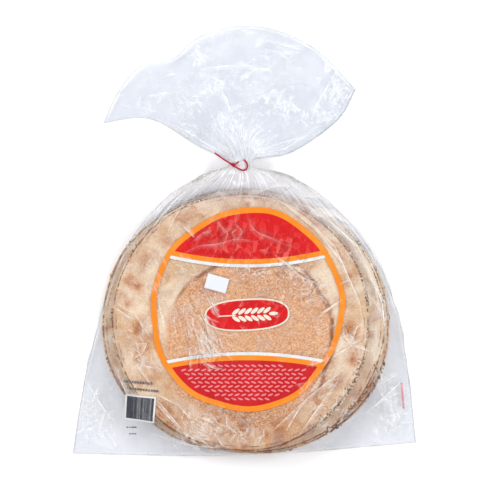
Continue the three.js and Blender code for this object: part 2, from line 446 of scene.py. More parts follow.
def filmMaterial(name, look):
    material, shader, place = newMaterial(name, 0.12, 0.7)
    place = spreadFlat(place)
    crumple, pressed, gathered, touch, fold = [
        valueOf(shader, label) for label in ("crumple", "crease", "gather", "touch", "fold")
    ]
    big = useGroup(crinkle, place, look["bigCell"], look["line"], 0.6, 0.2)
    small = useGroup(crinkle, place, look["smallCell"], 0.45, 0.45, None, (71, 23, 5))
    uv = outOf(place.tree, "ShaderNodeUVMap", uv_map="UVMap")
    streak = noiseOf(vectorCalc("MULTIPLY", uv, (230.0, 3.2, 0)), 1.0, 2.0, 0.55)
    # streaks of the gathered film: painted highlights along them, and more grey veil between them as painted
    # shade
    streaks = ramp(streak, 0.52, 0.72) * gathered
    cloud = ramp(noiseOf(place, 1 / look["cloud"]), 0.35, 0.7)
    busy = ramp(cloud * 0.35 + crumple, 0.42, 1.15)
    # painted highlights on the small facets that lean one way, and along their creases
    glints = most(ramp(small["Lean"], 0.3, 0.85) * 0.62, small["Crease"] * 0.4) * busy
    # a broad painted highlight on the big facets that lean the same way
    broad = ramp(big["Lean"], 0.35, 0.95) * 0.27
    # all the painted highlights: along the raised ridges, the crinkle creases, the facets and the streaks
    paintedGlint = clamped(most(pressed, big["Crease"] * 0.4, glints, broad, streaks * 0.55))
    bundled = ramp(gathered, 0.32, 1.0)
    veil = (cloud * look["cloudy"] + look["clear"]) * (touch * -look["touching"] + 1.0)
    veil = veil + gathered * look["gathered"] + ramp(streak, 0.3, 0.5, 1.0, 0.0) * gathered * 0.06
    veil = veil + bundled * ramp(streak, 0.36, 0.62, 0.7, 1.2) * look["bundled"]
    # painted shade: facets that lean the other way take more of the grey veil
    veil = veil + ramp(big["Lean"], -0.3, -0.9) * 0.03 + ramp(small["Lean"], -0.3, -0.9) * busy * 0.06
    feed(shader.inputs["Alpha"], clamped(paintedGlint * look["glint"] + (veil + fold * 0.3)))
    # painted light and painted shade of the pleats in the gathered film, streak by streak
    pleatShading = mixColors(ramp(streak, 0.3, 0.66), look["bundleDark"], look["bundleLight"])
    color = mixColors(clamped(bundled * 1.4), look["veil"], pleatShading)
    # the painted highlights are warmer where the film lies on a bread
    bright = mixColors(touch, look["crease"], warmLight)
    feed(shader.inputs["Base Color"], mixColors(clamped(paintedGlint * 1.6), color, bright))
    addBump(shader, streak * gathered + (small["Height"] * crumple + big["Height"]), 0.35)
    return material


def underMaterial(name, look):  # the side that lies on the table, a little cloudy and no more
    material, shader, place = newMaterial(name, 0.2, 0.5)
    cloud = noiseOf(place, 1 / look["cloud"])
    feed(shader.inputs["Base Color"], mixColors(ramp(cloud, 0.3, 0.7), look["veil"], (0.5, 0.56, 0.66)))
    feed(shader.inputs["Alpha"], cloud * 0.05 + look["clear"])
    return material


breadLook = {
    "dough": (0.62, 0.41, 0.235),
    "flour": (0.84, 0.69, 0.52),
    "blush": (0.56, 0.225, 0.075),
    "toast": (0.29, 0.1, 0.032),
    "middle": (0.66, 0.292, 0.115),
    "bran": (0.29, 0.11, 0.04),
    "char": (0.075, 0.036, 0.02),
    "patch": 46.0,
    "zone": 0.645,
}


def seamLine(share, middle, inner, outer):  # 1 on a ring of the bread, 0 away from it
    return ramp(calc("ABSOLUTE", share - middle), inner, outer, 1.0, 0.0)


def breadMaterial(name, look):
    material, shader, place = newMaterial(name, 0.8, 0.2)
    share, level, toasted, groove, inward = [
        valueOf(shader, label) for label in ("share", "level", "toasted", "groove", "inner")
    ]
    # moves the pattern on from bread to bread, so that no two are alike
    place = vectorCalc("ADD", place, combine(place.tree, level * 137.0, None, level * 61.0))
    patches = ramp(noiseOf(place, 1 / look["patch"], 3.0, 0.55, 0.4), 0.48, 0.68)
    blotches = ramp(noiseOf(place, 1 / 13.0, 3.0, 0.6, 0.6), 0.42, 0.7)
    flour = ramp(noiseOf(place, 1 / 32.0, 4.0, 0.62, 0.3), 0.4, 0.62)
    grains = useGroup(speckle, place, 1.7, 0.46, 0.09)
    bran = useGroup(speckle, place, 1.6, 0.44, 0.08)
    zone = inward + (noiseOf(place, 1 / 30.0) * 0.1 - 0.05)
    inner = ramp(zone, look["zone"] - 0.03, look["zone"] + 0.03, 1.0, 0.0)
    outer = 1.0 - inner
    color = mixColors(flour * 0.85, look["dough"], look["flour"])
    color = mixColors(inner * 0.85, color, look["middle"])
    color = mixColors(ramp(level, 3.0, 3.9, 0.42, 0.0), color, look["flour"])  # paler below the top one: painted light against the shade that the breads above cast
    browned = patches * (blotches * 0.7 + 0.15) * (outer * 0.6 + 0.4)
    browned = clamped(most(browned, toasted * (blotches * 0.55 + 0.45)))
    color = mixColors(clamped(browned * 1.25), color, look["blush"])
    color = mixColors(browned * browned * 0.8, color, look["toast"])
    color = mixColors(grains["Mask"] * (inner * 0.26 + 0.2), color, look["flour"])
    color = mixColors(bran["Mask"] * (toasted * 0.3 + (inner * 0.38 + 0.14)), color, look["bran"])
    # darker along the groove: the crust's browner line there, and painted shade of the recess
    ring = ramp(groove, 0.25, 0.95) * ramp(noiseOf(place, 1 / 20.0), 0.34, 0.56)
    color = mixColors(ring * 0.95, color, look["toast"])
    along = noiseOf(place, 1 / 22.0, 2.0, 0.6)
    dots = toasted * 0.1 + noiseOf(place, 1 / 2.6, 3.0, 0.7)
    rim = ramp(share, 0.94, 0.99) * ramp(along, 0.46, 0.68)
    color = mixColors(rim * 0.34, color, look["toast"])
    wander = along * 0.012 + 0.979
    seam = seamLine(share, wander, 0.002, 0.009) * ramp(dots, 0.4, 0.58)
    second = seamLine(share, wander - 0.028, 0.001, 0.006) * ramp(dots + along, 1.04, 1.2)
    color = mixColors(most(seam, second * 0.8) * 0.88, color, look["char"])
    feed(shader.inputs["Base Color"], color)
    feed(shader.inputs["Roughness"], outer * 0.1 + 0.72)
    addBump(shader, grains["Field"] * 0.6 + bran["Field"], 0.6)
    return material


def charMaterial(name):
    material, shader, place = newMaterial(name, 0.85, 0.5)
    grains = useGroup(speckle, place, 1.2, 0.5, 0.2)
    feed(shader.inputs["Base Color"], mixColors(grains["Mask"], (0.06, 0.028, 0.013), (0.27, 0.13, 0.055)))
    addBump(shader, grains["Field"], 0.3)
    return material


# lit is the colour of the painted highlights on the facets, and facets how strongly they show
def inkMaterial(name, ink, faded, lit=(1.0, 0.9, 0.9), facets=0.3):
    material, shader, place = newMaterial(name, 0.3, 0.16)
    crumple = valueOf(shader, "crumple")
    tall = vectorCalc("MULTIPLY", place, (1.5, 0.75, 1.0))
    small = useGroup(crinkle, tall, 13.0, 0.45, 0.6, 0.35, (71, 23, 5))
    tiny = useGroup(crinkle, place, 5.0, 0.3, 0.4, None, (13, 91, 2))
    busy = ramp(crumple, 0.25, 1.0)
    color = mixColors(ramp(noiseOf(place, 1 / 22.0, 3.0, 0.6), 0.35, 0.7) * 0.7, ink, faded)
    # painted shade: facets that lean away are darkened
    away = ramp(small["Lean"], -0.1, -0.8) * busy
    color = mixColors(away * 0.85, color, (0.62, 0.56, 0.58), "MULTIPLY")
    # painted highlights on facets that lean one way, on the fine facets and along the creases
    paintedHighlight = most(
        ramp(small["Lean"], 0.45, 0.8) * facets, ramp(tiny["Lean"], 0.7, 1.0) * 0.12, small["Crease"] * 0.3
    )
    paintedHighlight = clamped(most(paintedHighlight * busy, valueOf(shader, "crease") * 0.4))
    feed(shader.inputs["Base Color"], mixColors(paintedHighlight, color, lit))
    addBump(shader, (small["Height"] + tiny["Height"]) * crumple, 0.3)
    return material


# painted highlights and painted shade of creases: tone 0 takes the shade colour and tone 1 the light one,
# shine is how much shows
def creaseMaterial(name, shade, light):
    material, shader, place = newMaterial(name, 0.2, 0.5)
    bright = mixColors(valueOf(shader, "warm"), light, warmLight)
    patchy = ramp(noiseOf(place, 1 / 3.5), 0.3, 0.6, 0.55, 1.0)
    feed(shader.inputs["Base Color"], mixColors(valueOf(shader, "tone"), shade, bright))
    feed(shader.inputs["Alpha"], valueOf(shader, "shine") * patchy)
    return material


def wireMaterial(name):
    material, shader, place = newMaterial(name, 0.35, 0.3)
    rubbed = ramp(noiseOf(place, 1 / 2.2), 0.4, 0.75)
    feed(shader.inputs["Base Color"], mixColors(rubbed, (0.34, 0.004, 0.018), (0.5, 0.014, 0.045)))
    addBump(shader, rubbed, 0.15)
    return material


def paperMaterial(name):
    material, shader, place = newMaterial(name, 0.55, 0.4)
    fibre = noiseOf(place, 1 / 0.9, 3.0, 0.6)
    stains = useGroup(speckle, place, 2.6, 0.28, 0.06)
    color = mixColors(fibre * 0.3, (0.69, 0.715, 0.78), (0.63, 0.66, 0.73))
    feed(shader.inputs["Base Color"], mixColors(stains["Mask"] * 0.3, color, (0.5, 0.55, 0.68)))
    addBump(shader, fibre, 0.12)
    return material


film, underFilm = filmMaterial("film", filmLook), underMaterial("film_under", filmLook)
tailFilm, tailUnder = filmMaterial("tail_film", tailLook), underMaterial("tail_film_under", tailLook)
crust = breadMaterial("crust", breadLook)
char = charMaterial("char")
redInk = inkMaterial("red_ink", (0.56, 0.009, 0.011), (0.66, 0.015, 0.016), (0.88, 0.2, 0.17), 0.5)
lowerRed = inkMaterial("lower_red_ink", (0.48, 0.012, 0.016), (0.58, 0.02, 0.025), (0.8, 0.24, 0.22))
orangeInk = inkMaterial("orange_ink", (0.80, 0.22, 0.016), (0.84, 0.28, 0.035), (0.92, 0.5, 0.2))
whiteInk = inkMaterial("white_ink", (0.70, 0.715, 0.71), (0.62, 0.64, 0.66))
pinkInk = inkMaterial("pink_ink", (0.70, 0.20, 0.21), (0.74, 0.26, 0.27))
creamInk = inkMaterial("cream_ink", (0.76, 0.69, 0.58), (0.72, 0.63, 0.5))
darkInk = inkMaterial("dark_ink", (0.07, 0.07, 0.085), (0.15, 0.15, 0.17))
greyInk = inkMaterial("grey_ink", (0.045, 0.047, 0.06), (0.075, 0.075, 0.09))
creaseFilm = creaseMaterial("crease_highlight_shade_film", (0.17, 0.15, 0.15), (1.0, 0.985, 0.965))
creaseTail = creaseMaterial("tail_crease_highlight_shade_film", (0.4, 0.45, 0.54), (0.97, 0.985, 1.0))
redCoat = wireMaterial("red_coat")
paper = paperMaterial("sticker_paper")
print("materials made")


# Breads, as flat pockets of two layers

breads = {
    "thickness": 6.9,
    "step": 6.5,
    "lift": 0.35,  # stands on the lower film
    "creaseShare": 0.645,
    "creaseWidth": 0.026,
    "creaseMiddle": (10, -20),  # from the middle of the top bread
    "creaseDepth": 1.7,
    "swell": (0.4, 2.2),  # of a hidden bread and of the top one
    "around": (220, 300),
    "rings": (64, 120),
    "seamShare": 0.72,  # of the thickness
    "pile": [
        {"x": -2, "y": 4, "across": 262, "along": 264},
        {"x": -11, "y": -1, "across": 266, "along": 260},
        {"x": 13, "y": -2, "across": 266, "along": 258},
        {"x": 9, "y": -1, "across": 264, "along": 260},
        {"x": -4, "y": 1, "across": 255, "along": 259},
    ],
}
# From the middle of the underside, over the rim, to the middle of the face: way, share of the radius, height
breadSection = [
    (0.00, 0.0, 0.0),
    (0.24, 0.965, 0.0),
    (0.27, 0.995, 0.2),
    (0.30, 0.986, 0.5),
    (0.33, 1.0, 0.72),
    (0.36, 0.985, 0.9),
    (0.39, 0.955, 0.985),
    (0.42, 0.90, 1.0),
    (1.00, 0.0, 1.0),
]
rimWaves = [(0.007, 2, 2.1, 0.0), (0.005, 3, 1.3, 0.6), (0.0035, 7, 2.7, 0.0)]  # size, count, turn, start


def curveOf(value, points):
    node = addNode(value.tree, "ShaderNodeFloatCurve", None, value)
    curve = node.mapping.curves[0]
    while len(curve.points) < len(points):
        curve.points.new(0.5, 0.5)
    for point, spot in zip(curve.points, points):
        point.location = spot
        point.handle_type = "VECTOR"
    node.mapping.update()
    return Field(node.outputs[0])


def onEllipse(take, angle, share):  # a place on a bread, whose rim swings in and out of its ellipse
    swing = 1.0
    for size, waves, turn, start in rimWaves:
        swing = calc("SINE", angle * float(waves) + (take["Level"] * turn + start)) * size + swing
    reach = swing * share
    x, y = calc("COSINE", angle) * reach, calc("SINE", angle) * reach
    return x * (take["Across"] * 0.5), y * (take["Along"] * 0.5)


def pocketBreadTree():
    tree, take, end = geometryTree(
        "pocketBread",
        {
            "Around": 300,
            "Rings": 120,
            "Across": 0.26,
            "Along": 0.26,
            "Thickness": breads["thickness"] * mm,
            "Level": 0.0,
            "Swell": 0.0022,
            "Crust": 0.00035,
            "Crease Share": breads["creaseShare"],
            "Crease X": breads["creaseMiddle"][0] * mm,
            "Crease Y": breads["creaseMiddle"][1] * mm,
            "Crease Width": breads["creaseWidth"],
            "Crease Depth": 0.0017,
        },
    )
    geometry = outOf(tree, "GeometryNodeMeshGrid", 1.0, 1.0, take["Around"], take["Rings"])
    gridX, gridY, gridZ = split(outOf(tree, "GeometryNodeInputPosition"))
    angle, way = gridX * (2 * math.pi) + math.pi, gridY + 0.5
    share = curveOf(way, [(x, radius) for x, radius, height in breadSection])
    height = curveOf(way, [(x, height) for x, radius, height in breadSection])
    x, y = onEllipse(take, angle, share)
    plan = combine(tree, x, y, take["Level"] * 0.31)
    swell = (noiseOf(plan, 26.0) - 0.5) * take["Swell"] * ramp(share, 0.8, 1.0, 1.0, 0.0)
    blister = ramp(voronoiOf(plan, 85.0, "SMOOTH_F1"), 0.1, 0.5, 1.0, 0.0)
    rare = ramp(noiseOf(plan, 34.0, 1.0), 0.5, 0.62)
    grain = blister * rare * 0.9 + (noiseOf(plan, 210.0, 3.0, 0.6) - 0.5)
    pucker = calc("SINE", noiseOf(plan, 18.0) * 9.0 + angle * 44.0) * ramp(share, 0.86, 0.96)
    fromX, fromY = x - take["Crease X"], y - take["Crease Y"]
    inner = calc("SQRT", (fromX * fromX + fromY * fromY) * 4.0) / take["Across"]
    inner = inner + (noiseOf(plan, 15.0, 2.0, 0.6) * 0.2 - 0.1)
    off = (inner - take["Crease Share"]) / take["Crease Width"]
    upward = fromX * 0.7 + fromY  # deepest at the top right
    groove = calc("EXPONENT", off * off * -1.0) * ramp(upward, -0.045, 0.02, 0.15, 1.0)
    relief = (pucker * 0.45 + grain) * take["Crust"] + swell + ramp(off, -1.0, 1.0, 0.0005, 0.0)
    relief = relief - groove * take["Crease Depth"]
    z = height * take["Thickness"] + relief * ramp(way, 0.34, 0.44)
    # kept while the grid is still flat, because the fields read its places
    for label, value in (("share", share), ("inner", inner), ("groove", groove), ("level", take["Level"])):
        store = addNode(tree, "GeometryNodeStoreNamedAttribute", geometry, data_type="FLOAT", domain="POINT")
        store.inputs["Name"].default_value = label
        feed(store.inputs["Value"], value)
        geometry = Field(store.outputs[0])
    placed = outOf(tree, "GeometryNodeSetPosition", geometry, None, combine(tree, x, y, z))
    merged = addNode(tree, "GeometryNodeMergeByDistance", placed)
    merged.inputs["Distance"].default_value = 0.02 * mm
    return endTree(take, end, outOf(tree, "GeometryNodeSetShadeSmooth", Field(merged.outputs[0])))


def rimCharTree():  # flakes of burnt flour that sit along the seam of a bread
    tree, take, end = geometryTree(
        "rimChar",
        {
            "Count": 900,
            "Across": 0.26,
            "Along": 0.26,
            "Level": 0.0,
            "Seam Height": breads["thickness"] * breads["seamShare"] * mm,
            "Size": 0.0008,
            "Bare": 0.5,
            "From Angle": 0.0,
            "To Angle": 2 * math.pi,
            "Inmost": 0.978,
            "Seed": 1,
        },
    )

    def random(low, high, step):
        return randomOf(tree, low, high, take["Seed"] + float(step))

    angle = random(take["From Angle"], take["To Angle"], 1)
    x, y = onEllipse(take, angle, random(take["Inmost"], 1.0, 2))
    spot = combine(tree, x, y, take["Seam Height"] + random(-0.0009, 0.0011, 3))
    charred = noiseOf(combine(tree, x, y, take["Level"]), 30.0)
    points = outOf(tree, "GeometryNodePoints", take["Count"], spot)
    bare = calc("LESS_THAN", charred, take["Bare"])
    kept = outOf(tree, "GeometryNodeDeleteGeometry", points, bare, domain="POINT")
    flake = outOf(tree, "GeometryNodeMeshIcoSphere", take["Size"], 1)
    size = combine(tree, random(0.4, 1.6, 4), random(0.4, 1.3, 5), random(0.3, 0.7, 6))
    return endTree(take, end, scatter(kept, flake, combine(tree, None, None, angle), size))


# Browned places on the top bread and on the ones below it: middle, reach, how brown
browned = [
    (-111, 40, 9, 1.0), (-108, -5, 13, 1.0), (-96, -18, 11, 0.9), (-97, 86, 8, 0.7), (-59, 105, 12, 0.9),
    (-75, -106, 16, 1.0), (-52, -117, 16, 0.9), (105, -8, 12, 1.0), (108, -35, 10, 1.0), (100, 22, 10, 0.7),
    (-16, -110, 46, 1.0), (34, -112, 36, 1.0), (85, -83, 12, 0.6), (-20, 117, 12, 0.55), (17, 119, 11, 0.5),
    (-76, -96, 26, 1.0), (-104, -60, 15, 0.6), (-92, 12, 9, 0.8), (-70, 78, 13, 0.75), (-98, 62, 9, 0.9),
    (-116, 22, 8, 0.8), (-88, -52, 12, 0.8), (104, 44, 10, 0.8), (94, -58, 12, 0.8), (118, -60, 9, 0.8),
    (32, 72, 18, 0.9), (62, 54, 12, 0.7), (-44, 36, 14, 0.7), (-66, -60, 18, 0.6), (60, -104, 15, 0.7),
    (-122, -60, 10, 0.8), (70, 100, 13, 0.5), (-30, -50, 24, 0.4), (20, 30, 26, 0.35), (-118, 70, 8, 0.7),
    (-80, -92, 14, 0.6), (112, 62, 9, 0.5), (-12, 127, 6, 0.9), (0, 129, 7, 1.0), (12, 128, 6, 1.0),
    (62, 112, 8, 0.9), (74, 103, 7, 0.8), (-88, -84, 9, 0.9), (-40, -124, 14, 1.0), (0, -125, 18, 1.0),
    # the spots from (2, 55) to (60, 28) darken the band inside the groove at the top: browner crust there,
    # and painted shade of the groove
    (40, -121, 16, 1.0), (2, 55, 9, 0.8), (19, 57, 11, 1.0), (37, 52, 11, 0.95), (52, 41, 8, 0.7),
    (60, 28, 7, 0.6),
]
lowerBrowned = [
    (126, -66, 22, 1.0), (108, -92, 20, 0.9), (-137, -6, 7, 0.7), (-130, -42, 8, 0.6), (-20, -129, 26, 1.0),
    (26, -130, 26, 1.0), (-58, -121, 18, 0.9), (70, -116, 20, 0.8),
]
# More of them at random along the rim: how many, and how brown at most
rimBrowned = {"top": (12, 0.9), "lower": (22, 0.5), "reach": (4, 11), "share": (0.93, 1.0), "seed": 60}


def toastBread(piece, bread, level, onTop):
    points = meshPoints(piece) / mm - shift
    rng = np.random.default_rng(rimBrowned["seed"] + level)
    spots = list(browned if onTop else lowerBrowned)
    count, brownest = rimBrowned["top" if onTop else "lower"]
    for number in range(count):
        angle = rng.uniform(0, 2 * math.pi)
        share = rng.uniform(*rimBrowned["share"]) / 2
        x = bread["x"] + bread["across"] * share * math.cos(angle)
        y = bread["y"] + bread["along"] * share * math.sin(angle)
        spots.append((x, y, rng.uniform(*rimBrowned["reach"]), rng.uniform(0.15, brownest)))
    toasted = np.zeros(len(points))
    for x, y, reach, amount in spots:
        way = np.arctan2(points[:, 1] - y, points[:, 0] - x)
        turns = rng.uniform(0, 2 * math.pi, 3)
        edge = 1 + sum(
            size * np.cos(lobes * way + turn)
            for size, lobes, turn in zip((0.28, 0.16, 0.1), (2, 3, 5), turns)
        )
        toasted = np.maximum(toasted, amount * hump(points[:, 0], points[:, 1], x, y, reach * edge))
    carry(piece.data, {"toasted": toasted})


pieces = []


def addPiece(piece, slot="clear_film"):
    pieces.append((piece, slot))
    return piece


def growBread(tree, charTree, level, bread):
    onTop = level == len(breads["pile"]) - 1
    place = (np.array([bread["x"], bread["y"], breads["lift"] + level * breads["step"]]) + shift) * mm
    size = {"Across": bread["across"] * mm, "Along": bread["along"] * mm, "Level": float(level)}

    def grow(name, tree, material, values):
        piece = growMesh(name, tree, material, {**size, **values})
        setPoints(piece, meshPoints(piece) + place)
        return addPiece(piece, "bread")

    face = {
        "Around": breads["around"][onTop],
        "Rings": breads["rings"][onTop],
        "Swell": breads["swell"][onTop] * mm,
        "Crease Depth": breads["creaseDepth"] * mm * onTop,
    }
    toastBread(grow(f"bread_{level + 1}", tree, crust, face), bread, level, onTop)
    seam = {"Bare": 0.5 if onTop else 0.55, "Seed": 11 * level + 3}
    grow(f"bread_{level + 1}_char", charTree, char, seam)
    if level:  # the lowest bread is hidden where the others are scorched
        corner = {"Count": 260, "Bare": 0.43, "From Angle": -1.0, "To Angle": -0.3, "Inmost": 0.95}
        corner.update({"Size": 0.00085, "Seed": 11 * level + 7, "Seam Height": 0.0057})
        grow(f"bread_{level + 1}_scorch", charTree, char, corner)


breadTree, flakeTree = pocketBreadTree(), rimCharTree()
for level, bread in enumerate(breads["pile"]):
    growBread(breadTree, flakeTree, level, bread)


def pileSurface():  # what a ray from above meets, in millimetres of the plan
    points, faces = np.zeros((0, 3)), []
    for piece, slot in pieces:
        faces += shiftFaces([face.vertices for face in piece.data.polygons], len(points))
        points = np.concatenate([points, meshPoints(piece) / mm - shift])
    return BVHTree.FromPolygons(points.tolist(), faces)


pileTree = pileSurface()


def breadHeight(x, y):  # how high the pile reaches at places in the plan, 0 beside it
    spots = [dropOn(pileTree, *place)[0] for place in zip(x.ravel().tolist(), y.ravel().tolist())]
    return np.array([spot.z if spot else 0.0 for spot in spots]).reshape(x.shape)


print("breads made:", len(breads["pile"]))


# Bag of clear film

neck = {"x": -5, "y": 159, "z": 15, "halfWidth": 12, "halfHeight": 6.5, "waist": 4}
bag = {
    "bottomLeft": (-174, -134),
    "bottomRight": (173, -123),
    "leftFold": [(-162, -58), (-144, 12), (-122, 72), (-84, 121), (-43, 148)],
    "rightFold": [(165, -50), (153, 14), (127, 72), (88, 118), (46, 147)],
    "seam": [(-60, -136), (60, -132)],
    "tailLeft": [(-47, 176), (-96, 204)],
    "tailRight": [(20, 164), (51, 172), (94, 203)],
    "tailLeftTip": (-143, 200),
    "tailRightTip": (112, 234),
    "mouth": [(-129, 231), (-105, 258), (-74, 265), (-42, 289), (12, 298), (67, 278)],
    "rim": {"x": 0, "y": -1, "across": 262, "along": 258},
    "tableGap": 0.1,
    "foldLift": 6.5,
    "liftReach": 18,
    "sag": 2.1,  # how far the film falls in beside the pile, 1 for a straight slope
    "slack": 0.35,  # between the film and the breads
    "edgeWave": 0.8,
    "tailPuff": 24,
    "mouthGap": 3,
    "calmTurns": 14,  # how often the loose film is pulled smooth
    "looseReach": 26,  # how far from the pile that goes
    "stiff": {"x": 2, "y": 8, "halfAcross": 50, "halfAlong": 23},  # the badge holds the film flat there
}
filmSteps = {"across": 310, "under": 40, "along": 250, "tailAcross": 230, "tailUnder": 70, "tailAlong": 130}
filmCrowding = {"body": 1.15, "tail": 1.35}  # the rows lie closer together at the neck
topZ = breads["lift"] + breads["step"] * 4 + breads["thickness"] + bag["slack"]

neckLeft = (neck["x"] - neck["halfWidth"], neck["y"])
neckRight = (neck["x"] + neck["halfWidth"], neck["y"])
leftAside, rightAside = neckLeft[0] - 3, neckRight[0] + 4
lines = {
    "seam": [bag["bottomLeft"], *bag["seam"], bag["bottomRight"]],
    "neck": [neckLeft, neckRight],
    "leftFold": [bag["bottomLeft"], *bag["leftFold"], (leftAside, neck["y"] - neck["waist"]), neckLeft],
    "rightFold": [bag["bottomRight"], *bag["rightFold"], (rightAside, neck["y"] - neck["waist"]), neckRight],
    "tailLeft": [neckLeft, (leftAside, neck["y"] + neck["waist"]), *bag["tailLeft"], bag["tailLeftTip"]],
    "tailRight": [neckRight, (rightAside, neck["y"] + neck["waist"]), *bag["tailRight"], bag["tailRightTip"]],
    "mouth": [bag["tailLeftTip"], *bag["mouth"], bag["tailRightTip"]],
}
bodyPatch = [lines[side] for side in ("seam", "neck", "leftFold", "rightFold")]
tailPatch = [lines[side] for side in ("neck", "mouth", "tailLeft", "tailRight")]

# Places where the film is crumpled: middle, reach, strength
crumples = [
    (-22, 84, 36, 0.6), (38, 74, 26, 0.4), (-40, -26, 22, 0.9), (-52, -104, 28, 0.9), (-12, -112, 26, 0.7),
    (58, 40, 30, 0.5), (88, -62, 26, 0.6), (-98, 46, 34, 0.35), (-150, -90, 40, 0.5), (150, -90, 44, 0.5),
    (20, 10, 60, 0.34),
]
tailCrumples = [(20, 232, 40, 0.45), (-95, 222, 26, 0.3)]
# Broad soft folds over the upper field: height, steep side, gentle side, and the corners of the ridge
folds = [
    (1.8, 1.3, 6.0, [(-62, 68), (-46, 76), (-28, 78), (-8, 83), (10, 80)]),
    (1.5, 1.2, 5.0, [(-28, 106), (-24, 96), (-17, 88), (-22, 76)]),
    (1.5, 1.2, 5.0, [(-8, 108), (-9, 98), (-3, 90), (-10, 78)]),
    (1.8, 1.3, 6.0, [(4, 108), (5, 99), (12, 90), (26, 84), (44, 76)]),
    (1.1, 1.0, 5.0, [(-52, 80), (-40, 90), (-30, 86)]),
    (1.2, 1.2, 5.0, [(-74, 24), (-66, 6), (-58, -24)]),
    (1.0, 1.0, 4.0, [(-60, 34), (-50, 8), (-36, -20), (-30, -40)]),
    (1.1, 1.0, 4.5, [(28, 62), (44, 52), (62, 42), (76, 26)]),
]
# Long straight creases, each as the corners it runs through; they are pressed into the film and also drawn as
# painted highlights and shade
creases = [
    [(-128, 19), (-109, 8), (-93, -16)],
    [(-131, 17), (-110, 3)],
    [(-114, -38), (-101, -30), (-97, -20), (-110, -21)],
    [(-111, -37), (-93, -62)],
    [(-88, -75), (-59, -109)],
    [(-90, -78), (-66, -104)],
    [(-90, -70), (-66, -82), (-52, -98)],
    [(25, -108), (62, -74), (100, -43)],
    [(94, -54), (72, -84), (51, -114)],
    [(65, -70), (52, -88), (39, -110)],
    [(63, -70), (80, -46)],
    [(71, 4), (94, 22)],
    [(74, 9), (97, 24)],
    [(28, 69), (42, 58), (60, 42)],
    [(31, 64), (59, 48), (66, 38)],
    [(105, -22), (96, -11)],
    [(105, -22), (115, -17)],
    [(105, -22), (125, -29)],
    [(105, -20), (112, -2)],
    [(105, -22), (86, -34)],
    [(-62, 96), (-50, 84)],
    [(-132, -40), (-118, -70), (-96, -74)],
    [(118, 60), (136, 20), (140, -20)],
    [(104, 84), (128, 40), (138, 0)],
    [(-96, -112), (-60, -122), (-20, -124)],
    [(120, -92), (146, -70), (158, -60)],
    [(21, 130), (60, 104), (89, 76), (113, 22), (123, -34)],
    [(31, 124), (70, 92), (97, 58), (105, 30)],
    [(51, 124), (81, 104), (112, 76), (134, 30)],
    [(-86, 20), (-80, -6)],
    [(-160, -60), (-140, -90), (-150, -120)],
    [(140, -70), (152, -96), (146, -118)],
]
tailCreases = [
    [(92, 253), (72, 219), (64, 196)],
    [(-30, 237), (-18, 223), (-14, 206)],
    [(-50, 253), (-18, 256), (14, 257)],
    [(-80, 245), (-68, 248)],
    [(-52, 277), (-42, 257)],
    [(10, 170), (52, 185), (60, 189)],
    [(14, 168), (40, 174), (74, 196)],
    [(-100, 226), (-70, 231)],
    [(44, 223), (56, 211)],
    [(-76, 199), (-58, 190), (-30, 172)],
    [(0, 219), (14, 220)],
    [(20, 282), (60, 272)],
]
# Places full of small creases, drawn only as painted highlights and shade: middle, reach, count, way they
# run, spread, strength, length
creaseClusters = [
    (-22, 84, 22, 13, 9, 62, 40, 0.4, 7),
    (34, 82, 24, 12, 4, -30, 50, 0.3, 7),
    (-42, -2, 10, 22, 34, -68, 18, 0.95, 13),
    (-42, -22, 14, 10, 28, -56, 34, 0.9, 9),
    (-50, -102, 18, 12, 54, -50, 34, 0.95, 10),
    (-14, -117, 26, 8, 26, 74, 30, 0.8, 7),
    (60, 28, 18, 12, 24, 32, 40, 0.7, 8),
    (8, 50, 14, 6, 20, 20, 60, 0.9, 5),
    (-70, 60, 12, 12, 14, -30, 40, 0.6, 9),
    (72, -60, 20, 18, 24, 46, 34, 0.7, 10),
    (104, -20, 15, 18, 24, 10, 85, 0.8, 8),
    (80, -96, 18, 12, 20, 44, 24, 0.8, 11),
    (-112, -30, 13, 30, 26, -56, 40, 0.8, 9),
    (-98, 46, 18, 26, 22, -70, 40, 0.6, 8),
    (-150, -104, 14, 18, 34, 20, 85, 0.8, 8),
    (148, -98, 14, 22, 38, 60, 80, 0.8, 8),
    (134, -64, 8, 16, 16, 80, 40, 0.6, 9),
    (122, 40, 10, 30, 20, -66, 20, 0.6, 12),
    (10, 0, 46, 40, 24, 40, 85, 0.35, 6),
    (72, -10, 9, 7, 14, 30, 60, 0.7, 5),
    (-58, 10, 8, 18, 18, -70, 25, 0.6, 10),
    (54, 46, 16, 8, 14, -35, 30, 0.6, 7),
    (-26, 24, 16, 8, 12, 30, 60, 0.4, 6),
]
tailClusters = [
    (36, 214, 18, 13, 60, 50, 60, 0.8, 6),
    (92, 228, 9, 14, 44, 60, 60, 0.85, 6),
    (74, 202, 12, 10, 34, 50, 60, 0.8, 6),
    (-62, 220, 14, 11, 40, -50, 50, 0.7, 6),
    (-46, 266, 6, 10, 20, -60, 60, 0.7, 5),
    (-68, 196, 14, 7, 30, -34, 30, 0.8, 8),
    (-100, 214, 14, 8, 12, -20, 30, 0.5, 8),
    (-14, 192, 12, 12, 40, 84, 30, 0.8, 6),
    (10, 246, 30, 14, 24, 10, 60, 0.5, 8),
    (-30, 236, 14, 12, 24, -50, 50, 0.7, 7),
    (30, 274, 24, 8, 12, -10, 20, 0.5, 12),
]
creaseLook = {"lift": 0.6, "edgeLift": 0.25, "fall": (1.5, 5.0), "step": 1.4, "seed": 14}
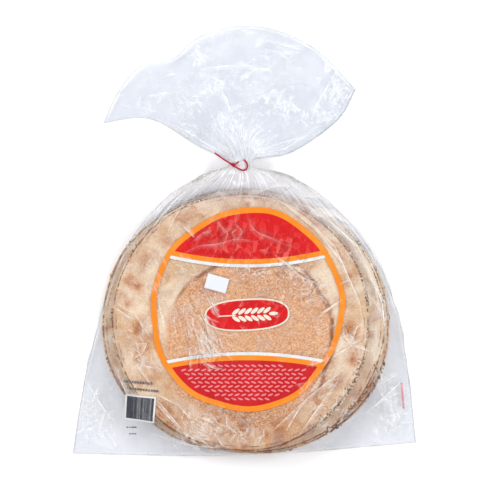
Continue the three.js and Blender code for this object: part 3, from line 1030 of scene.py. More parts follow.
# Across a fold or an edge: how far aside, how much it shows, 0 for painted shade and 1 for painted highlight
foldProfile = [
    (-5.5, 0, 0), (-2.2, 0.3, 0), (-0.7, 0.38, 0), (-0.25, 0.55, 1),
    (0.3, 0.55, 1), (1.1, 0.24, 1), (5.5, 0, 1),
]
edgeProfile = [(0.5, 0.42, 0), (1.3, 0.3, 0), (1.9, 0.3, 1), (2.8, 0.4, 1), (4.2, 0, 1)]
# Facets pressed into the film: size of a cell, seed, height of a ridge, its width, share of them that shows
facets = [(30, 5, 1.0, 2.2, 0.5), (13, 8, 0.75, 1.5, 0.45), (7, 21, 0.4, 1.1, 0.4)]
# Fine folds that run out of the neck, none as wide as the next: height, count, start, drift
pleats = [(1.0, 9, 0.3, 0.4), (0.7, 17, 1.9, -0.5), (0.5, 29, 4.0, 0.8), (0.35, 47, 2.2, -0.6)]
teeth = {"count": 150, "depth": 1.1}  # the cut edge of the mouth


def beyondPile(x, y):
    rim = bag["rim"]
    dx, dy = x - rim["x"], y - rim["y"]
    share = np.hypot(dx / (rim["across"] / 2), dy / (rim["along"] / 2))
    return np.where(share > 1, np.hypot(dx, dy) * (1 - 1 / np.maximum(share, 1)), 0)


def archOver(s):
    return np.maximum(0, np.sin(np.pi * s)) ** 0.7


def neckBundle(s, side):  # the height of the gathered film, over or under the middle of the neck
    return neck["z"] + side * np.sqrt(np.maximum(0, 1 - (2 * s - 1) ** 2)) * neck["halfHeight"]


def neckFolds(s, t, fromNeck, reach, height):
    wave = sum(
        size * np.cos(2 * np.pi * count * s + start + drift * 6 * t)
        for size, count, start, drift in pleats
    )
    return height * wave / 1.6 * archOver(s) * np.exp(-fromNeck / reach) * smoothStep(1, 12, fromNeck)


def crumpleStrength(x, y, places, base):
    return base + sum(amount * hump(x, y, cx, cy, reach) for cx, cy, reach, amount in places)


# Distance to the nearest edge between random cells, and how strongly that edge is pressed
def brokenNet(x, y, cell, seed, share):
    rng = np.random.default_rng(seed)
    low = np.array([x.min() - cell, y.min() - cell])
    counts = np.ceil((np.array([x.max(), y.max()]) + cell - low) / cell).astype(int)
    tree = KDTree(int(counts.prod()))
    spots = []
    for row in range(counts[1]):
        for column in range(counts[0]):
            spots.append(low + (np.array([column, row]) + rng.random(2)) * cell)
            tree.insert((*spots[-1], 0), len(spots) - 1)
    tree.balance()
    spots = np.array(spots)
    here = np.stack([np.ravel(x), np.ravel(y)], axis=1)
    near = np.array([[found[1] for found in tree.find_n((a, b, 0), 4)] for a, b in here])
    own = spots[near[:, 0]]
    best, weight = np.full(len(here), 1e9), np.zeros(len(here))
    for other in (1, 2, 3):
        away = spots[near[:, other]] - own
        middle = (spots[near[:, other]] + own) / 2
        reach = np.abs(np.sum((middle - here) * away, axis=1) / np.linalg.norm(away, axis=1))
        # a number for each pair of cells that is the same from both sides
        pair = near[:, 0] * near[:, other] * 0.6180339 + (near[:, 0] + near[:, other]) * 0.7548777
        weight = np.where(reach < best, pair % 1.0, weight)
        best = np.minimum(best, reach)
    pressed = np.clip((weight - (1 - share)) / share, 0, 1)
    return best.reshape(x.shape), pressed.reshape(x.shape)


def pressCreases(x, y, strength, seedShift):  # height of the ridges between the facets
    ridge = np.zeros(x.shape)
    for cell, seed, height, width, share in facets:
        reach, pressed = brokenNet(x, y, cell, seed + seedShift, share)
        amount = strength * (1.6 if cell < 20 else 1.0) + (0.25 if cell > 20 else 0)
        ridge += height * pressed * np.clip(amount, 0, 1.3) * np.exp(-reach / width)
    return ridge


def longCreases(x, y, corners, height, width):
    legs = [leg for line in corners for leg in zip(line, line[1:])]
    return height * np.exp(-np.min([segmentDistance(x, y, *leg)[0] for leg in legs], axis=0) / width)


def foldHeight(x, y):  # each fold is steep on one side and runs out gently on the other
    height = np.zeros(x.shape)
    for tall, steep, gentle, corners in folds:
        legs = [math.dist(start, end) for start, end in zip(corners, corners[1:])]
        gone = 0
        for leg, start, end in zip(legs, corners, corners[1:]):
            reach, share = segmentDistance(x, y, start, end)
            aside = (end[0] - start[0]) * (y - start[1]) - (end[1] - start[1]) * (x - start[0])
            taper = np.sin(np.pi * np.clip((gone + share * leg) / sum(legs), 0.02, 0.98)) ** 0.6
            height = np.maximum(height, tall * taper * np.exp(-reach / np.where(aside > 0, steep, gentle)))
            gone += leg
    return height


def planOf(patch, columns, ways):  # a grid over a patch of the plan, and how far its points are from the neck
    s, t = np.broadcast_arrays(np.linspace(0, 1, columns + 1)[None, :], ways[:, None])
    plan = patchOf(*patch, s, t)
    x, y = plan[..., 0], plan[..., 1]
    return s, t, x, y, fromNeckOf(x, y)


def fromNeckOf(x, y):
    return np.hypot(x - neck["x"], y - neck["y"])


def bodyLayer(columns, side):
    ways = 1 - (1 - np.linspace(0, 1, filmSteps["along"] + 1)) ** filmCrowding["body"]
    s, t, x, y, fromNeck = planOf(bodyPatch, columns, ways)
    width = alongCurve(lines["rightFold"], t)[..., 0] - alongCurve(lines["leftFold"], t)[..., 0]
    toFold = np.minimum(s, 1 - s) * width
    left, right = np.sin(57 * t + 1) + 0.7 * np.sin(131 * t), np.sin(49 * t + 2.6) + 0.7 * np.sin(117 * t + 1)
    x = x + bag["edgeWave"] * np.where(s < 0.5, left, right) * np.sin(np.pi * t) * np.exp(-toFold / 9)
    inward = np.maximum(0, np.minimum(toFold, y - alongCurve(lines["seam"], s)[..., 1]))
    outside = beyondPile(x, y)
    cling = inward / (inward + outside + 1e-6)
    edge = 0.6 + bag["tableGap"] + bag["foldLift"] * np.exp(-outside / bag["liftReach"])
    if side > 0:
        rise = blendOf(edge, topZ, cling ** bag["sag"])
    else:
        rise = np.maximum(bag["tableGap"], edge * (1 - np.sqrt(cling)))
    fromNeck = fromNeckOf(x, y)
    z = blendOf(rise, neckBundle(s, side), 1 - smoothStep(6, 46, fromNeck))
    z += side * neckFolds(s, t, fromNeck, reach=60, height=0.9) * (1 - cling**2)
    return s, t, x, y, z, toFold, fromNeck


def tailLayer(columns, side):
    ways = np.linspace(0, 1, filmSteps["tailAlong"] + 1) ** filmCrowding["tail"]
    s, t, x, y, fromNeck = planOf(tailPatch, columns, ways)
    across = archOver(s)
    air = bag["tailPuff"] * np.sin(np.pi * blendOf(0.08, 1, t)) ** 0.8 + bag["mouthGap"] * t**3
    waves = 2.2 * np.sin(2 * np.pi * (3 * s + 0.4 * t)) + 1.4 * np.sin(2 * np.pi * (7 * s - 0.5 * t) + 1)
    waves = waves * smoothStep(0.15, 0.8, t) * across
    edge = blendOf(neck["z"], 0.7 + bag["tableGap"] + 3 * across * t, smoothStep(4, 60, fromNeck))
    rise = edge + air * across + waves if side > 0 else edge - 0.5 * across
    z = blendOf(neckBundle(s, side), rise, smoothStep(3, 42, fromNeck))
    z = z + side * neckFolds(s, t, fromNeck, reach=75, height=1.1)
    return s, t, x, y, np.maximum(bag["tableGap"], z), fromNeck


def drape(x, y, z):  # lets the film rest on the pile, pulled smooth between what it touches
    floor = breadHeight(x, y)
    spread = floor.copy()  # the highest bread near each point, so that no rim comes through
    near = [floor[a : a - 2 or None, b : b - 2 or None] for a in (0, 1, 2) for b in (0, 1, 2)]
    spread[1:-1, 1:-1] = np.max(near, axis=0)
    floor = np.where(spread > 0, spread + bag["slack"], 0)
    loose = beyondPile(x, y) < bag["looseReach"]
    z = np.maximum(z, floor)
    for turn in range(bag["calmTurns"]):
        calm = z.copy()
        calm[1:-1, 1:-1] = (z[:-2, 1:-1] + z[2:, 1:-1] + z[1:-1, :-2] + z[1:-1, 2:]) / 4
        z = np.where(loose, np.maximum(blendOf(z, calm, 0.8), floor), z)
    return z, np.where(floor > 0, 1 - smoothStep(0.3, 3, z - floor), 0)


# Closes the upper and the lower film into a tube, with the lower one's own material and plain values
def filmPiece(name, upper, under, s, t, materials, values, shape):
    rows, columns = upper.shape[:2]
    loop = np.concatenate([upper, np.stack(under[2:5], axis=-1)[:, -2:0:-1]], axis=1)
    around = np.concatenate([s[0], 1 + (1 - under[0][0, -2:0:-1])])
    shape(loop)
    blank = np.zeros((rows, loop.shape[1] - columns))
    plain = {"crumple": 0.2, "gather": 0.1}
    carried = {key: np.concatenate([grid, blank + plain.get(key, 0)], axis=1) for key, grid in values.items()}
    uvs = np.stack(np.broadcast_arrays(around[None, :] / 2, t[:, :1]), axis=-1).reshape(-1, 2)
    piece = makePiece(name, loop, gridFaces(rows, loop.shape[1], True), materials[0], carried, uvs)
    piece.data.materials.append(materials[1])
    below = [int(face % loop.shape[1] >= columns - 1) for face in range(len(piece.data.polygons))]
    piece.data.polygons.foreach_set("material_index", below)
    return addPiece(piece)


def filmBody():
    s, t, x, y, z, toFold, fromNeck = bodyLayer(filmSteps["across"], 1)
    z, touch = drape(x, y, z)
    strength = crumpleStrength(x, y, crumples, base=0.12)
    calm = smoothStep(0, 10, toFold) * smoothStep(8, 40, fromNeck)
    held = bag["stiff"]
    reach = ((x - held["x"]) / held["halfAcross"]) ** 2 + ((y - held["y"]) / held["halfAlong"]) ** 2
    ridge = pressCreases(x, y, strength, seedShift=0) * (1 - np.exp(-(reach**2)))
    upper = np.stack([x, y, z + foldHeight(x, y)], axis=-1)
    pressed = ridge + longCreases(x, y, creases, height=0.9, width=1.6)
    upper += gridNormals(upper) * (pressed * calm)[..., None]
    upper[..., 2] = np.maximum(upper[..., 2], bag["tableGap"])
    leftHaze = 0.95 * np.exp(-toFold / 22) * smoothStep(0.34, 0.6, t)
    rightHaze = 0.88 * np.exp(-((toFold / 45) ** 2)) * smoothStep(0.28, 0.56, t)  # more is bunched here
    haze = blendOf(leftHaze, rightHaze, smoothStep(0.42, 0.58, s))
    values = {
        # where the ridges stand highest, for the painted highlights along them
        "crease": np.clip((ridge - 0.5) * 0.5, 0, 0.3) * calm,
        "crumple": np.clip(strength, 0, 1),
        "gather": np.clip(np.exp(-fromNeck / 44) * 1.15 + haze, 0, 1),
        "fold": np.exp(-toFold / 1.1),
        "touch": touch,
    }
    under = list(bodyLayer(filmSteps["under"], -1))
    flat = np.where(fromNeckOf(under[2], under[3]) > 50, 0.15, 40)
    under[4] = np.minimum(under[4], bag["tableGap"] + flat)

    def closeSeam(loop):
        wide = upper.shape[1]
        loop[0, wide:, 2] = np.interp(loop[0, wide:, 0], upper[0, :, 0], upper[0, :, 2])

    filmPiece("film_bag", upper, under, s, t, (film, underFilm), values, closeSeam)
    return upper, values


def filmTail():
    s, t, x, y, z, fromNeck = tailLayer(filmSteps["tailAcross"], 1)
    calm = smoothStep(0, 0.05, np.minimum(s, 1 - s)) * smoothStep(6, 30, fromNeck)
    strength = crumpleStrength(x, y, tailCrumples, base=0.3)
    ridge = pressCreases(x, y, strength, seedShift=40)
    upper = np.stack([x, y, z], axis=-1)
    pressed = ridge * 1.4 + longCreases(x, y, tailCreases, height=1.2, width=2.0)
    upper += gridNormals(upper) * (pressed * calm)[..., None]
    values = {
        # where the ridges stand highest, for the painted highlights along them
        "crease": np.clip((ridge - 0.5) * 0.4, 0, 0.25) * calm,
        "crumple": np.clip(strength, 0, 1),
        "gather": np.clip(np.exp(-fromNeck / 70) * 1.1, 0, 1),
        "fold": np.exp(-np.minimum(np.minimum(s, 1 - s), 1 - t) * 200 / 1.3),
    }

    under = tailLayer(filmSteps["tailUnder"], -1)

    def cutTeeth(loop):
        wide = loop.shape[1]
        bite = np.abs((np.arange(wide) * teeth["count"] / wide) % 1 - 0.5) * 2 * teeth["depth"]
        arch = archOver(np.concatenate([s[0], under[0][0, -2:0:-1]]))
        outward = unitOf(loop[-1, :, :2] - loop[-2, :, :2])
        loop[-1, :, :2] += outward * ((bite - teeth["depth"]) * arch)[:, None]

    filmPiece("film_tail", upper, under, s, t, (tailFilm, tailUnder), values, cutTeeth)
    return upper


def topTree(grid):
    return BVHTree.FromPolygons(grid.reshape(-1, 3).tolist(), gridFaces(*grid.shape[:2]))


filmTop, filmValues = filmBody()
filmTree, tailTree = topTree(filmTop), topTree(filmTail())


def clusterLines(clusters, rng):  # short bent creases, drawn only as painted highlights and shade, with how strong each one shows
    found = []
    for x, y, reachX, reachY, count, way, spread, strength, long in clusters:
        for number in range(count):
            corners = [np.array([x + rng.normal() * reachX * 0.62, y + rng.normal() * reachY * 0.62])]
            angle = math.radians(way + rng.uniform(-spread, spread))
            for leg in range(rng.integers(1, 4)):
                length = long * rng.uniform(0.4, 1.5) * (0.6 if leg else 1.0)
                corners.append(corners[-1] + length * np.array([math.cos(angle), math.sin(angle)]))
                angle += math.radians(rng.uniform(-55, 55))
            found.append((corners, strength * rng.uniform(0.35, 1.0)))
    return found


def pleatLines(sides, count, firstT, lastT, patch, rng):  # long folds that run from the neck, drawn only as painted highlights and shade
    found = []
    for number in range(count):
        low, high = sides[rng.integers(0, len(sides))]
        s = rng.uniform(low, high) + np.cumsum(rng.normal(size=9) * 0.0035)
        t = np.linspace(rng.uniform(*firstT), rng.uniform(*lastT), 9)
        found.append((list(patchOf(*patch, s, t)), rng.uniform(0.3, 0.95)))
    return found


class Ribbons:  # thin strips that lie on the film: painted highlights and painted shade, and the grey of doubled film at its edges
    def __init__(self, tree, lift):
        self.tree, self.lift = tree, lift
        self.points, self.faces = [], []
        self.values = {"shine": [], "tone": [], "warm": []}

    def lay(self, rows, middle):  # one strip, from rows of places in the plan with their shine and their tone
        faces = gridFaces(len(rows), len(rows[0][0]))
        self.faces += shiftFaces(faces, len(self.points))
        for plan, shine, tone in rows:
            for i, (x, y) in enumerate(plan):
                spot = dropOn(self.tree, x, y)[0]
                shows = shine[i] if spot else 0.0
                spot = spot or self.tree.find_nearest(Vector(middle(i, x, y)))[0]
                self.points.append((spot.x, spot.y, spot.z + self.lift))
                # warm where the strip lies on the pile, for the painted highlight's warmer colour there
                warm = float(beyondPile(spot.x, spot.y) < 1)
                for key, number in (("shine", shows), ("tone", tone), ("warm", warm)):
                    self.values[key].append(number)

    def finish(self, name, material, *labels):
        values = {label: self.values[label] for label in labels}
        addPiece(makePiece(name, self.points, self.faces, material, values))


# Each crease gets a painted highlight along its ridge, which fades off on one side, and a fine painted shadow
# on the other
def creaseRibbons(name, creased, tree, material, rng, profile=None):
    ribbons = Ribbons(tree, creaseLook["lift"])
    for corners, strength in creased:
        corners = np.array(corners, float)
        places = np.concatenate([[0], np.cumsum(np.hypot(*np.diff(corners, axis=0).T))])
        count = max(4, int(places[-1] / creaseLook["step"]))
        along = np.linspace(0, places[-1], count)
        spots = np.stack([np.interp(along, places, corners[:, axis]) for axis in (0, 1)], axis=1)
        way = unitOf(np.gradient(spots, axis=0))
        side = np.stack([-way[:, 1], way[:, 0]], axis=1) * (-1 if profile else rng.choice([-1, 1]))
        share = np.linspace(0, 1, count)
        taper = np.sin(np.pi * share) ** 0.5
        flicker = 0.75 + 0.25 * np.sin(share * rng.uniform(6, 20) + rng.uniform(0, 6))
        broad = rng.uniform(0.28, 0.55)
        fall = rng.uniform(*creaseLook["fall"])
        across = profile or [
            (-broad - 1.5, 0, 0),
            (-broad - 0.25, 0.2, 0),
            (-broad * 0.4, 0.85, 1),
            (broad * 0.4, 0.85, 1),
            (broad + 0.4, 0.42, 1),
            (broad + fall, 0, 1),
        ]
        shine = strength * taper * flicker
        rows = [
            (spots + side * (offset * taper)[:, None], amount * shine, tone)
            for offset, amount, tone in across
        ]
        ribbons.lay(rows, lambda i, x, y: (*spots[i], 10))
    ribbons.finish(name, material, "shine", "tone", "warm")


# The doubled film along a fold or a cut edge: a fine grey line, the doubled film with painted shade, and a
# painted highlight inside it
def edgeRibbons(name, edges, patch, tree):
    ribbons = Ribbons(tree, creaseLook["edgeLift"])
    for s, t, middle in edges:
        edge = patchOf(*patch, *np.broadcast_arrays(np.asarray(s, float), np.asarray(t, float)))
        inward = unitOf(np.array(middle, float) - edge)
        i = np.arange(len(edge))
        rows = []
        for offset, amount, tone in edgeProfile:
            patchy = 0.6 + 0.4 * np.sin(i * 0.31 + offset) * np.sin(i * 0.083 + 2)
            rows.append((edge + inward * offset, amount * patchy, tone))
        ribbons.lay(rows, lambda i, x, y: (x, y, 3))
    ribbons.finish(name, creaseFilm, "shine", "tone")


creaseRng = np.random.default_rng(creaseLook["seed"])
# the lines that get a painted highlight and painted shade on the body and on the tail
bodyLines = [(line, 0.95) for line in creases] + clusterLines(creaseClusters, creaseRng)
bodyLines += pleatLines([(0.02, 0.2), (0.72, 0.985)], 46, (0.95, 0.99), (0.42, 0.8), bodyPatch, creaseRng)
bodyLines += pleatLines([(0.1, 0.9)], 44, (0.965, 0.99), (0.84, 0.93), bodyPatch, creaseRng)
tailLines = [(line, 0.9) for line in tailCreases] + clusterLines(tailClusters, creaseRng)
tailLines += pleatLines([(0.03, 0.97)], 44, (0.05, 0.14), (0.2, 0.45), tailPatch, creaseRng)
# painted highlights and shade along the broad folds, on top of their relief
foldLines = [(alongCurve(fold[3], np.linspace(0, 1, 24)), 0.42) for fold in folds]
creaseRibbons("film_crease_light_shade", bodyLines, filmTree, creaseFilm, creaseRng)
creaseRibbons("film_fold_light_shade", foldLines, filmTree, creaseFilm, creaseRng, foldProfile)
creaseRibbons("tail_crease_light_shade", tailLines, tailTree, creaseTail, creaseRng)
down, across, tailDown = np.linspace(0.0, 0.985, 260), np.linspace(0.01, 0.99, 260), np.linspace(0.03, 1, 200)
bodyEdges = [(0.0, down, (0, 0)), (1.0, down, (0, 0)), (across, 0.0, (0, 40))]
tailEdges = [(0.0, tailDown, (-10, 240)), (1.0, tailDown, (-10, 240)), (across, 1.0, (-10, 200))]
edgeRibbons("film_edges", bodyEdges, bodyPatch, filmTree)
edgeRibbons("tail_edges", tailEdges, tailPatch, tailTree)
print("film made")


# Printing on the film

filmColumns = filmTop.shape[1]


def layOn(points, lift):  # drops points of the plan onto the film, and reads its creases there
    laid, corners = [], []
    for x, y in points:
        spot, face = dropOn(filmTree, x, y)
        laid.append((x, y, spot.z + lift))
        corners.append(face // (filmColumns - 1) * filmColumns + face % (filmColumns - 1))
    return np.array(laid), {label: filmValues[label].ravel()[corners] for label in ("crease", "crumple")}


def printGrid(name, plan, ink, lift, ring=False):
    points, values = layOn(plan.reshape(-1, 2), lift)
    return addPiece(makePiece(name, points, gridFaces(*plan.shape[:2], ring), ink, values))


def printGrown(name, tree, values, spot, turn, ink, lift):  # a grown flat mesh, made round its own middle
    piece = growMesh(name, tree, ink, values)
    points = meshPoints(piece) / mm
    laid, carried = layOn(turnedTo(spot, turn, points[:, 0], points[:, 1]), lift)
    setPoints(piece, toFrame(laid))
    carry(piece.data, carried)
    addPiece(piece)


roundel = {
    "x": 2,
    "y": 13,
    "halfAcross": 95,
    "halfAlong": 102,
    "band": 5.5,
    "overlap": 0.6,  # how far the fields go under the ring
    "wobble": 1.7,
    "edgeBand": 5,
    "pinstripe": 3.2,
    "step": 1.1,
    "upper": {"middle": 50, "side": 64, "sign": 1, "ink": redInk},
    "lower": {"middle": -50, "side": -62, "sign": -1, "ink": lowerRed},
}


def ringRadius(angle, inset):  # the ring is a little uneven, as the film is
    wave = np.sin(2 * angle + 0.6) + 0.6 * np.sin(5 * angle + 1.1) + 0.3 * np.sin(11 * angle)
    a, b = [roundel[half] - inset + roundel["wobble"] * wave for half in ("halfAcross", "halfAlong")]
    return a * b / np.hypot(b * np.cos(angle), a * np.sin(angle))


def arcHeight(x, arc, gone=0):  # a shallow arc across the ring, or one beside it towards the middle
    share = (x - roundel["x"]) / roundel["halfAcross"]
    return roundel["y"] + arc["middle"] - arc["sign"] * gone + (arc["side"] - arc["middle"]) * share**2


def ringHeight(x, inset, sign):  # where the ring's inner edge is, above or below x
    share = np.clip((x - roundel["x"]) / (roundel["halfAcross"] - inset), -1, 1)
    angle = np.arctan2(sign * np.sqrt(1 - share**2), share)
    for turn in range(6):
        radius = ringRadius(angle, inset)
        angle = sign * np.arccos(np.clip((x - roundel["x"]) / radius, -1, 1))
    return roundel["y"] + radius * np.sin(angle)


def printRing():
    angle = np.linspace(0, 2 * math.pi, 420, endpoint=False)[None, :]
    radius = ringRadius(angle, np.linspace(roundel["band"], 0, 5)[:, None])
    plan = [roundel["x"] + radius * np.cos(angle), roundel["y"] + radius * np.sin(angle)]
    printGrid("print_ring", np.stack(plan, axis=-1), orangeInk, 0.34, True)


# The whole field between an arc and the ring, or a stripe from near to far beside the arc
def printField(name, arc, ink, lift, near=None, far=0):
    inset, sign = roundel["band"] - roundel["overlap"], arc["sign"]
    reach = roundel["halfAcross"] - inset
    x = np.linspace(roundel["x"] - reach, roundel["x"] + reach, 900)
    inside = x[sign * (ringHeight(x, inset, sign) - arcHeight(x, arc, far)) > 0.4]
    x = np.linspace(inside.min(), inside.max(), int((inside.max() - inside.min()) / roundel["step"]))
    edge, start = ringHeight(x, inset, sign), arcHeight(x, arc)
    if near is None:
        share = np.linspace(0, 1, int(np.abs(edge - start).max() / roundel["step"]))[:, None]
        y = blendOf(start, edge, share)
    else:
        y = arcHeight(x, arc, np.linspace(near, far, 4)[:, None])
        y = sign * np.minimum(sign * y, sign * edge)
    printGrid(name, np.stack(np.broadcast_arrays(x, np.sort(y, axis=0)), axis=-1), ink, lift)


def flatShape(tree, points):
    return outOf(tree, "GeometryNodeMeshCircle", points, 0.5, fill_type="NGON")


def grainRowsTree():  # rows of small grains that fill the lower field
    steps = {"Columns": 28, "Rows": 13, "Step X": 0.0066, "Step Y": 0.0041}
    tree, take, end = geometryTree("grainRows", {**steps, "Long": 0.0058, "Wide": 0.0019, "Lean": 0.35})
    across, along = (take["Columns"] - 1.0) * take["Step X"], (take["Rows"] - 1.0) * take["Step Y"]
    grid = outOf(tree, "GeometryNodeMeshGrid", across, along, take["Columns"], take["Rows"])
    gridX, gridY, gridZ = split(outOf(tree, "GeometryNodeInputPosition"))
    odd = calc("MODULO", calc("ROUND", (gridY + along * 0.5) / take["Step Y"]), 2.0)
    aside = combine(tree, odd * (take["Step X"] * 0.5))
    moved = outOf(tree, "GeometryNodeSetPosition", grid, None, None, aside)
    lean = combine(tree, None, None, take["Lean"] * (odd * -2.0 + 1.0))
    size = combine(tree, take["Long"], take["Wide"], 1.0)
    return endTree(take, end, scatter(moved, flatShape(tree, 8), lean, size))


barRow = {"Count": 27, "Step": 0.00102, "Narrow": 0.00055, "Broad": 0.00125, "Tall": 0.0235, "Seed": 5}


def markRowTree():  # a row of upright marks of uneven width, for bars and for dashes
    tree, take, end = geometryTree("markRow", barRow)
    index = outOf(tree, "GeometryNodeInputIndex")
    spot = combine(tree, (index - (take["Count"] - 1.0) * 0.5) * take["Step"])
    points = outOf(tree, "GeometryNodePoints", take["Count"], spot)
    size = combine(tree, randomOf(tree, take["Narrow"], take["Broad"], take["Seed"]), take["Tall"], 1.0)
    mark = outOf(tree, "GeometryNodeMeshGrid", 1.0, 1.0, 2, 22)
    return endTree(take, end, scatter(points, mark, None, size))


def wheatEarTree():  # pairs of grains along a stalk, and one at the tip
    tree, take, end = geometryTree(
        "wheatEar",
        {
            "Pairs": 6,
            "Step": 0.0062,
            "Long": 0.0092,
            "Wide": 0.0036,
            "Spread": 0.62,
            "Aside": 0.0036,
            "Stalk": 0.017,
            "Stalk Wide": 0.0011,
        },
    )
    join = addNode(tree, "GeometryNodeJoinGeometry")
    grain, stick = flatShape(tree, 12), outOf(tree, "GeometryNodeMeshGrid", 1.0, 1.0, 20, 2)

    def place(count, x, y, turn, long, wide, shape):
        points = outOf(tree, "GeometryNodePoints", count, combine(tree, x, y))
        turned, size = combine(tree, None, None, turn), combine(tree, long, wide, 1.0)
        feed(join.inputs[0], scatter(points, shape, turned, size))

    along = outOf(tree, "GeometryNodeInputIndex") * take["Step"]
    for side in (-1.0, 1.0):
        aside, turn = take["Aside"] * side, take["Spread"] * side
        place(take["Pairs"], along, aside, turn, take["Long"], take["Wide"], grain)
    place(1, take["Pairs"] * take["Step"], 0.0, 0.0, take["Long"], take["Wide"], grain)
    place(1, take["Stalk"] * -0.5, 0.0, 0.0, take["Stalk"], take["Stalk Wide"], stick)
    return endTree(take, end, Field(join.outputs[0]))


def insideLowerField(x, y):
    dx, dy = x - roundel["x"], y - roundel["y"]
    radius = ringRadius(np.arctan2(dy, dx), roundel["band"] + 2.5)
    return (np.hypot(dx, dy) < radius) & (y < arcHeight(x, roundel["lower"]) - 2.5)


def printGrains():
    whole = growMesh("print_grains", grainRowsTree(), pinkInk, {})
    middleY = roundel["y"] + (roundel["lower"]["middle"] - roundel["halfAlong"]) / 2
    plan = meshPoints(whole)[:, :2] / mm + np.array([roundel["x"], middleY])
    kept = insideLowerField(plan[:, 0], plan[:, 1])
    faces = [tuple(face.vertices) for face in whole.data.polygons if kept[list(face.vertices)].all()]
    bpy.data.objects.remove(whole)
    used = sorted({corner for face in faces for corner in face})
    order = {corner: number for number, corner in enumerate(used)}
    laid, values = layOn(plan[used], 0.42)
    faces = [tuple(order[corner] for corner in face) for face in faces]
    addPiece(makePiece("print_grains", laid, faces, pinkInk, values))


badge = {"x": 2, "y": 8, "halfAcross": 42, "halfAlong": 16, "turn": 3, "rim": 1.6, "square": 0.8}
ear = {"x": badge["x"] - 11, "y": badge["y"] - 0.6}


def printOval(name, inset, ink, lift):
    angle = np.linspace(0, 2 * math.pi, 180, endpoint=False)[None, :]
    share = np.linspace(0.001, 1, 34)[:, None]
    x, y = [
        (badge[half] - inset) * share * np.sign(wave) * np.abs(wave) ** badge["square"]
        for half, wave in (("halfAcross", np.cos(angle)), ("halfAlong", np.sin(angle)))
    ]
    printGrid(name, turnedTo(badge, badge["turn"], x, y), ink, lift, True)


def rectangle(spot, columns, rows):
    across, along = [np.linspace(-0.5, 0.5, count) for count in (columns, rows)]
    x, y = np.meshgrid(across * spot["across"], along * spot["along"])
    return turnedTo(spot, spot["turn"], x, y)


bars = {"x": -104.5, "y": -85.5, "across": 31, "along": 27, "turn": -5}
dashRow = {"Step": 0.0027, "Narrow": 0.0012, "Broad": 0.0026}
# Short dashes: place, turn, count, height in metres and ink
dashes = [
    (-106, -59, -4, 11, 0.0024, darkInk),
    (-103, -66, -6, 13, 0.0019, darkInk),
    (-114, -106, 3, 4, 0.0014, darkInk),
    (-113, -113, 3, 3, 0.0012, darkInk),
    (159, -75, -85, 10, 0.0019, pinkInk),
]

printRing()
for side in ("upper", "lower"):
    printField(f"print_{side}_field", roundel[side], roundel[side]["ink"], 0.24)
for side in ("upper", "lower"):
    inner = roundel["edgeBand"] + roundel["pinstripe"]
    printField(f"print_{side}_band", roundel[side], orangeInk, 0.3, 0, roundel["edgeBand"])
    printField(f"print_{side}_pinstripe", roundel[side], whiteInk, 0.4, roundel["edgeBand"], inner)
printGrains()
printOval("print_badge_rim", 0, creamInk, 0.36)
printOval("print_badge", badge["rim"], redInk, 0.5)
printGrown("print_wheat_ear", wheatEarTree(), {}, ear, badge["turn"], creamInk, 0.64)
printGrid("print_bar_panel", rectangle(bars, 30, 26), whiteInk, 0.3)
markTree = markRowTree()
printGrown("print_bars", markTree, {}, bars, bars["turn"], greyInk, 0.42)
for number, (x, y, turn, count, tall, ink) in enumerate(dashes):
    values = {**dashRow, "Count": count, "Tall": tall, "Seed": 7 + number}
    printGrown(f"print_dashes_{number + 1}", markTree, values, {"x": x, "y": y}, turn, ink, 0.4)
print("print made")


# Price sticker

def makeSticker():
    columns, rows = int(sticker["across"] / sticker["step"]), int(sticker["along"] / sticker["step"])
    points, values = layOn(rectangle(sticker, columns, rows).reshape(-1, 2), sticker["lift"])
    heights = points[:, 2].reshape(rows, columns)
    for turn in range(4):  # paper is stiffer than film
        padded = np.pad(heights, 1, mode="edge")
        heights = (padded[:-2, 1:-1] + padded[2:, 1:-1] + padded[1:-1, :-2] + padded[1:-1, 2:] + heights) / 5
    points[:, 2] = heights.ravel()
    piece = makePiece("price_label", points, gridFaces(rows, columns), paper)
    thickness = piece.modifiers.new("thickness", "SOLIDIFY")
    thickness.thickness = sticker["thick"] * mm
    thickness.offset = 1
    return addPiece(piece, "paper")


label = makeSticker()


# Coated wire round the neck

wire = {"radius": 0.85, "sides": 14, "knot": (-12, 157, 23.4), "twist": 2.6 * math.pi}
# From the knot down and round in front, then through the folds and back behind them
wireLoop = [
    (-12, 157, 22.6), (-9.6, 154.9, 23.4), (-6.2, 153, 23.6), (-2.4, 151.5, 23.2),
    (0.8, 152.2, 22.8), (2.4, 155, 22.6), (1.9, 158.4, 22.6), (-0.4, 161.4, 21.6),
    (-2.2, 162.6, 18), (-2.8, 162.4, 12), (-5, 161, 7.6), (-9, 159.8, 6.6),
    (-13, 159, 8.6), (-15.2, 158.6, 13), (-14.8, 158, 18.4), (-12.4, 157.2, 22),
]
# Both from the knot
longEnd = [(-3.2, 1.6, 0.6), (-7.4, 4.2, 0.9), (-11.6, 7.0, 0.7), (-15.2, 9.6, 0.2), (-17.9, 11.6, -0.6)]
shortEnd = [(1.6, 0.4, 0.9), (3.6, 1.4, 1.2), (5.6, 2.9, 1.0)]


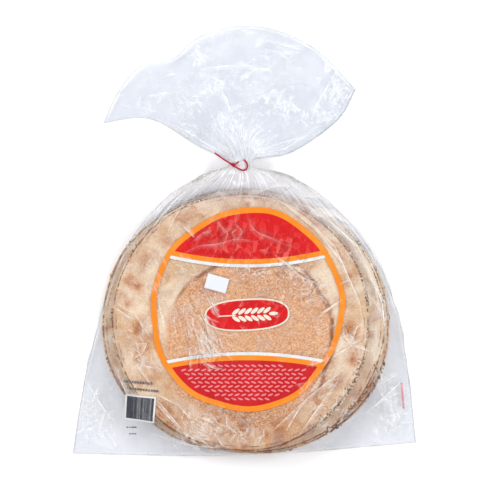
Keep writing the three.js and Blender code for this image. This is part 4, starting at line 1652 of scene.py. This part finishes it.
def tube(points):  # a round wire through the points, with rounded ends
    path = alongCurve(points, np.linspace(0, 1, len(points) * 6))
    forward = unitOf(np.gradient(path, axis=0))
    angle = np.linspace(0, 2 * math.pi, wire["sides"], endpoint=False)[:, None]
    over = np.array([0.12, 0.2, 1.0])
    rings = []
    for spot, ahead in zip(path, forward):
        across = unitOf(np.cross(ahead, over))
        over = np.cross(across, ahead)
        rings.append(spot + wire["radius"] * (np.cos(angle) * across + np.sin(angle) * over))

    def capped(end, way):  # two smaller rings that round off an end
        aside, shares = rings[end] - path[end], ((0.75, 0.5), (0.05, 0.75))
        return [path[end] + aside * part + way * wire["radius"] * out for part, out in shares]

    return np.array([*capped(0, -forward[0])[::-1], *rings, *capped(-1, forward[-1])])


def twistedEnd(knot, half):  # the two ends turn round each other for a short way
    strand = []
    for share in np.linspace(0, 1, 9):
        angle = half + share * wire["twist"]
        along = knot + np.array([1.1, -1.0, -0.6]) * (1 - share) + np.array([-1.0, 0.8, 0.2]) * share
        aside = np.array([0.6, 0.8, 0.0]) * math.cos(angle) + np.array([0, 0, 1.0]) * math.sin(angle)
        strand.append(along + aside * wire["radius"])
    return strand


def makeTie():
    knot = np.array(wire["knot"])
    paths = [wireLoop]
    for half, end in ((0, longEnd), (math.pi, shortEnd)):
        paths.append(twistedEnd(knot, half) + [knot + np.array(step) for step in end])
    points, faces = [], []
    for path in paths:
        rings = tube(path)
        faces += shiftFaces(gridFaces(len(rings), wire["sides"], True), len(points))
        points += rings.reshape(-1, 3).tolist()
    return addPiece(makePiece("wire_tie", points, faces, redCoat), "coated_wire")


tie = makeTie()
print("sticker and tie made")

for piece, slot in pieces:
    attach(piece, "root")
    if slot in ("bread", "clear_film"):
        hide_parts("bread_bag")
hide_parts("price_sticker")
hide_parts("twist_tie")


# Floor, light and camera

floorHalf = 4  # metres


def makeFloor():
    material, shader, place = newMaterial("floor", 0.9, 0.0)
    cloud = noiseOf(place, 1 / 400.0)
    feed(shader.inputs["Base Color"], mixColors(cloud, (0.97, 0.97, 0.975), (0.985, 0.98, 0.985)))
    mesh = bpy.data.meshes.new("floor")
    corners = [(x * floorHalf, y * floorHalf, 0) for x, y in ((-1, -1), (1, -1), (1, 1), (-1, 1))]
    mesh.from_pydata(corners, [], [(0, 1, 2, 3)])
    mesh.materials.append(material)
    return addObject("floor", mesh)


# Each soft light has its place and size in metres, and its power
lights = {
    "sky": 0.62,
    "skyColor": (0.98, 0.985, 1.0, 1),
    "soft": [
        ((-1.05, 0.45, 0.92), (0.9, 0.5), 9.6),
        ((1.1, 0.15, 0.95), (0.7, 0.35), 7.6),
        ((0.1, -1.1, 1.2), (0.8, 0.3), 4.5),
        ((0.2, 1.2, 1.0), (0.9, 0.2), 5.5),
    ],
}


def makeLights():
    world = bpy.data.worlds.new("sky")
    scene.world = world
    world.use_nodes = True
    background = world.node_tree.nodes["Background"]
    background.inputs["Color"].default_value = lights["skyColor"]
    background.inputs["Strength"].default_value = lights["sky"]
    for number, (spot, size, power) in enumerate(lights["soft"]):
        light = bpy.data.lights.new(f"soft_{number + 1}", "AREA")
        light.shape = "RECTANGLE"
        light.size, light.size_y = size
        light.energy = power
        holder = addObject(light.name, light)
        holder.location = spot
        holder.rotation_euler = (-Vector(spot)).to_track_quat("-Z", "Y").to_euler()


# The photograph's frame is 480 pixels across, one millimetre to a pixel
view = {"middleX": -5, "middleY": 82, "across": 480, "height": 1600, "atZ": 18, "sensor": 36}


def makeCamera():
    camera = bpy.data.cameras.new("camera")
    camera.sensor_width = view["sensor"]
    camera.lens = view["sensor"] * (view["height"] - view["atZ"]) / view["across"]
    camera.clip_end = 20
    scene.camera = addObject("camera", camera)
    scene.camera.location = toFrame([(view["middleX"], view["middleY"], view["height"])])[0]


makeFloor()
makeLights()
makeCamera()
scene.cycles.transparent_max_bounces = 32
print("stage made")
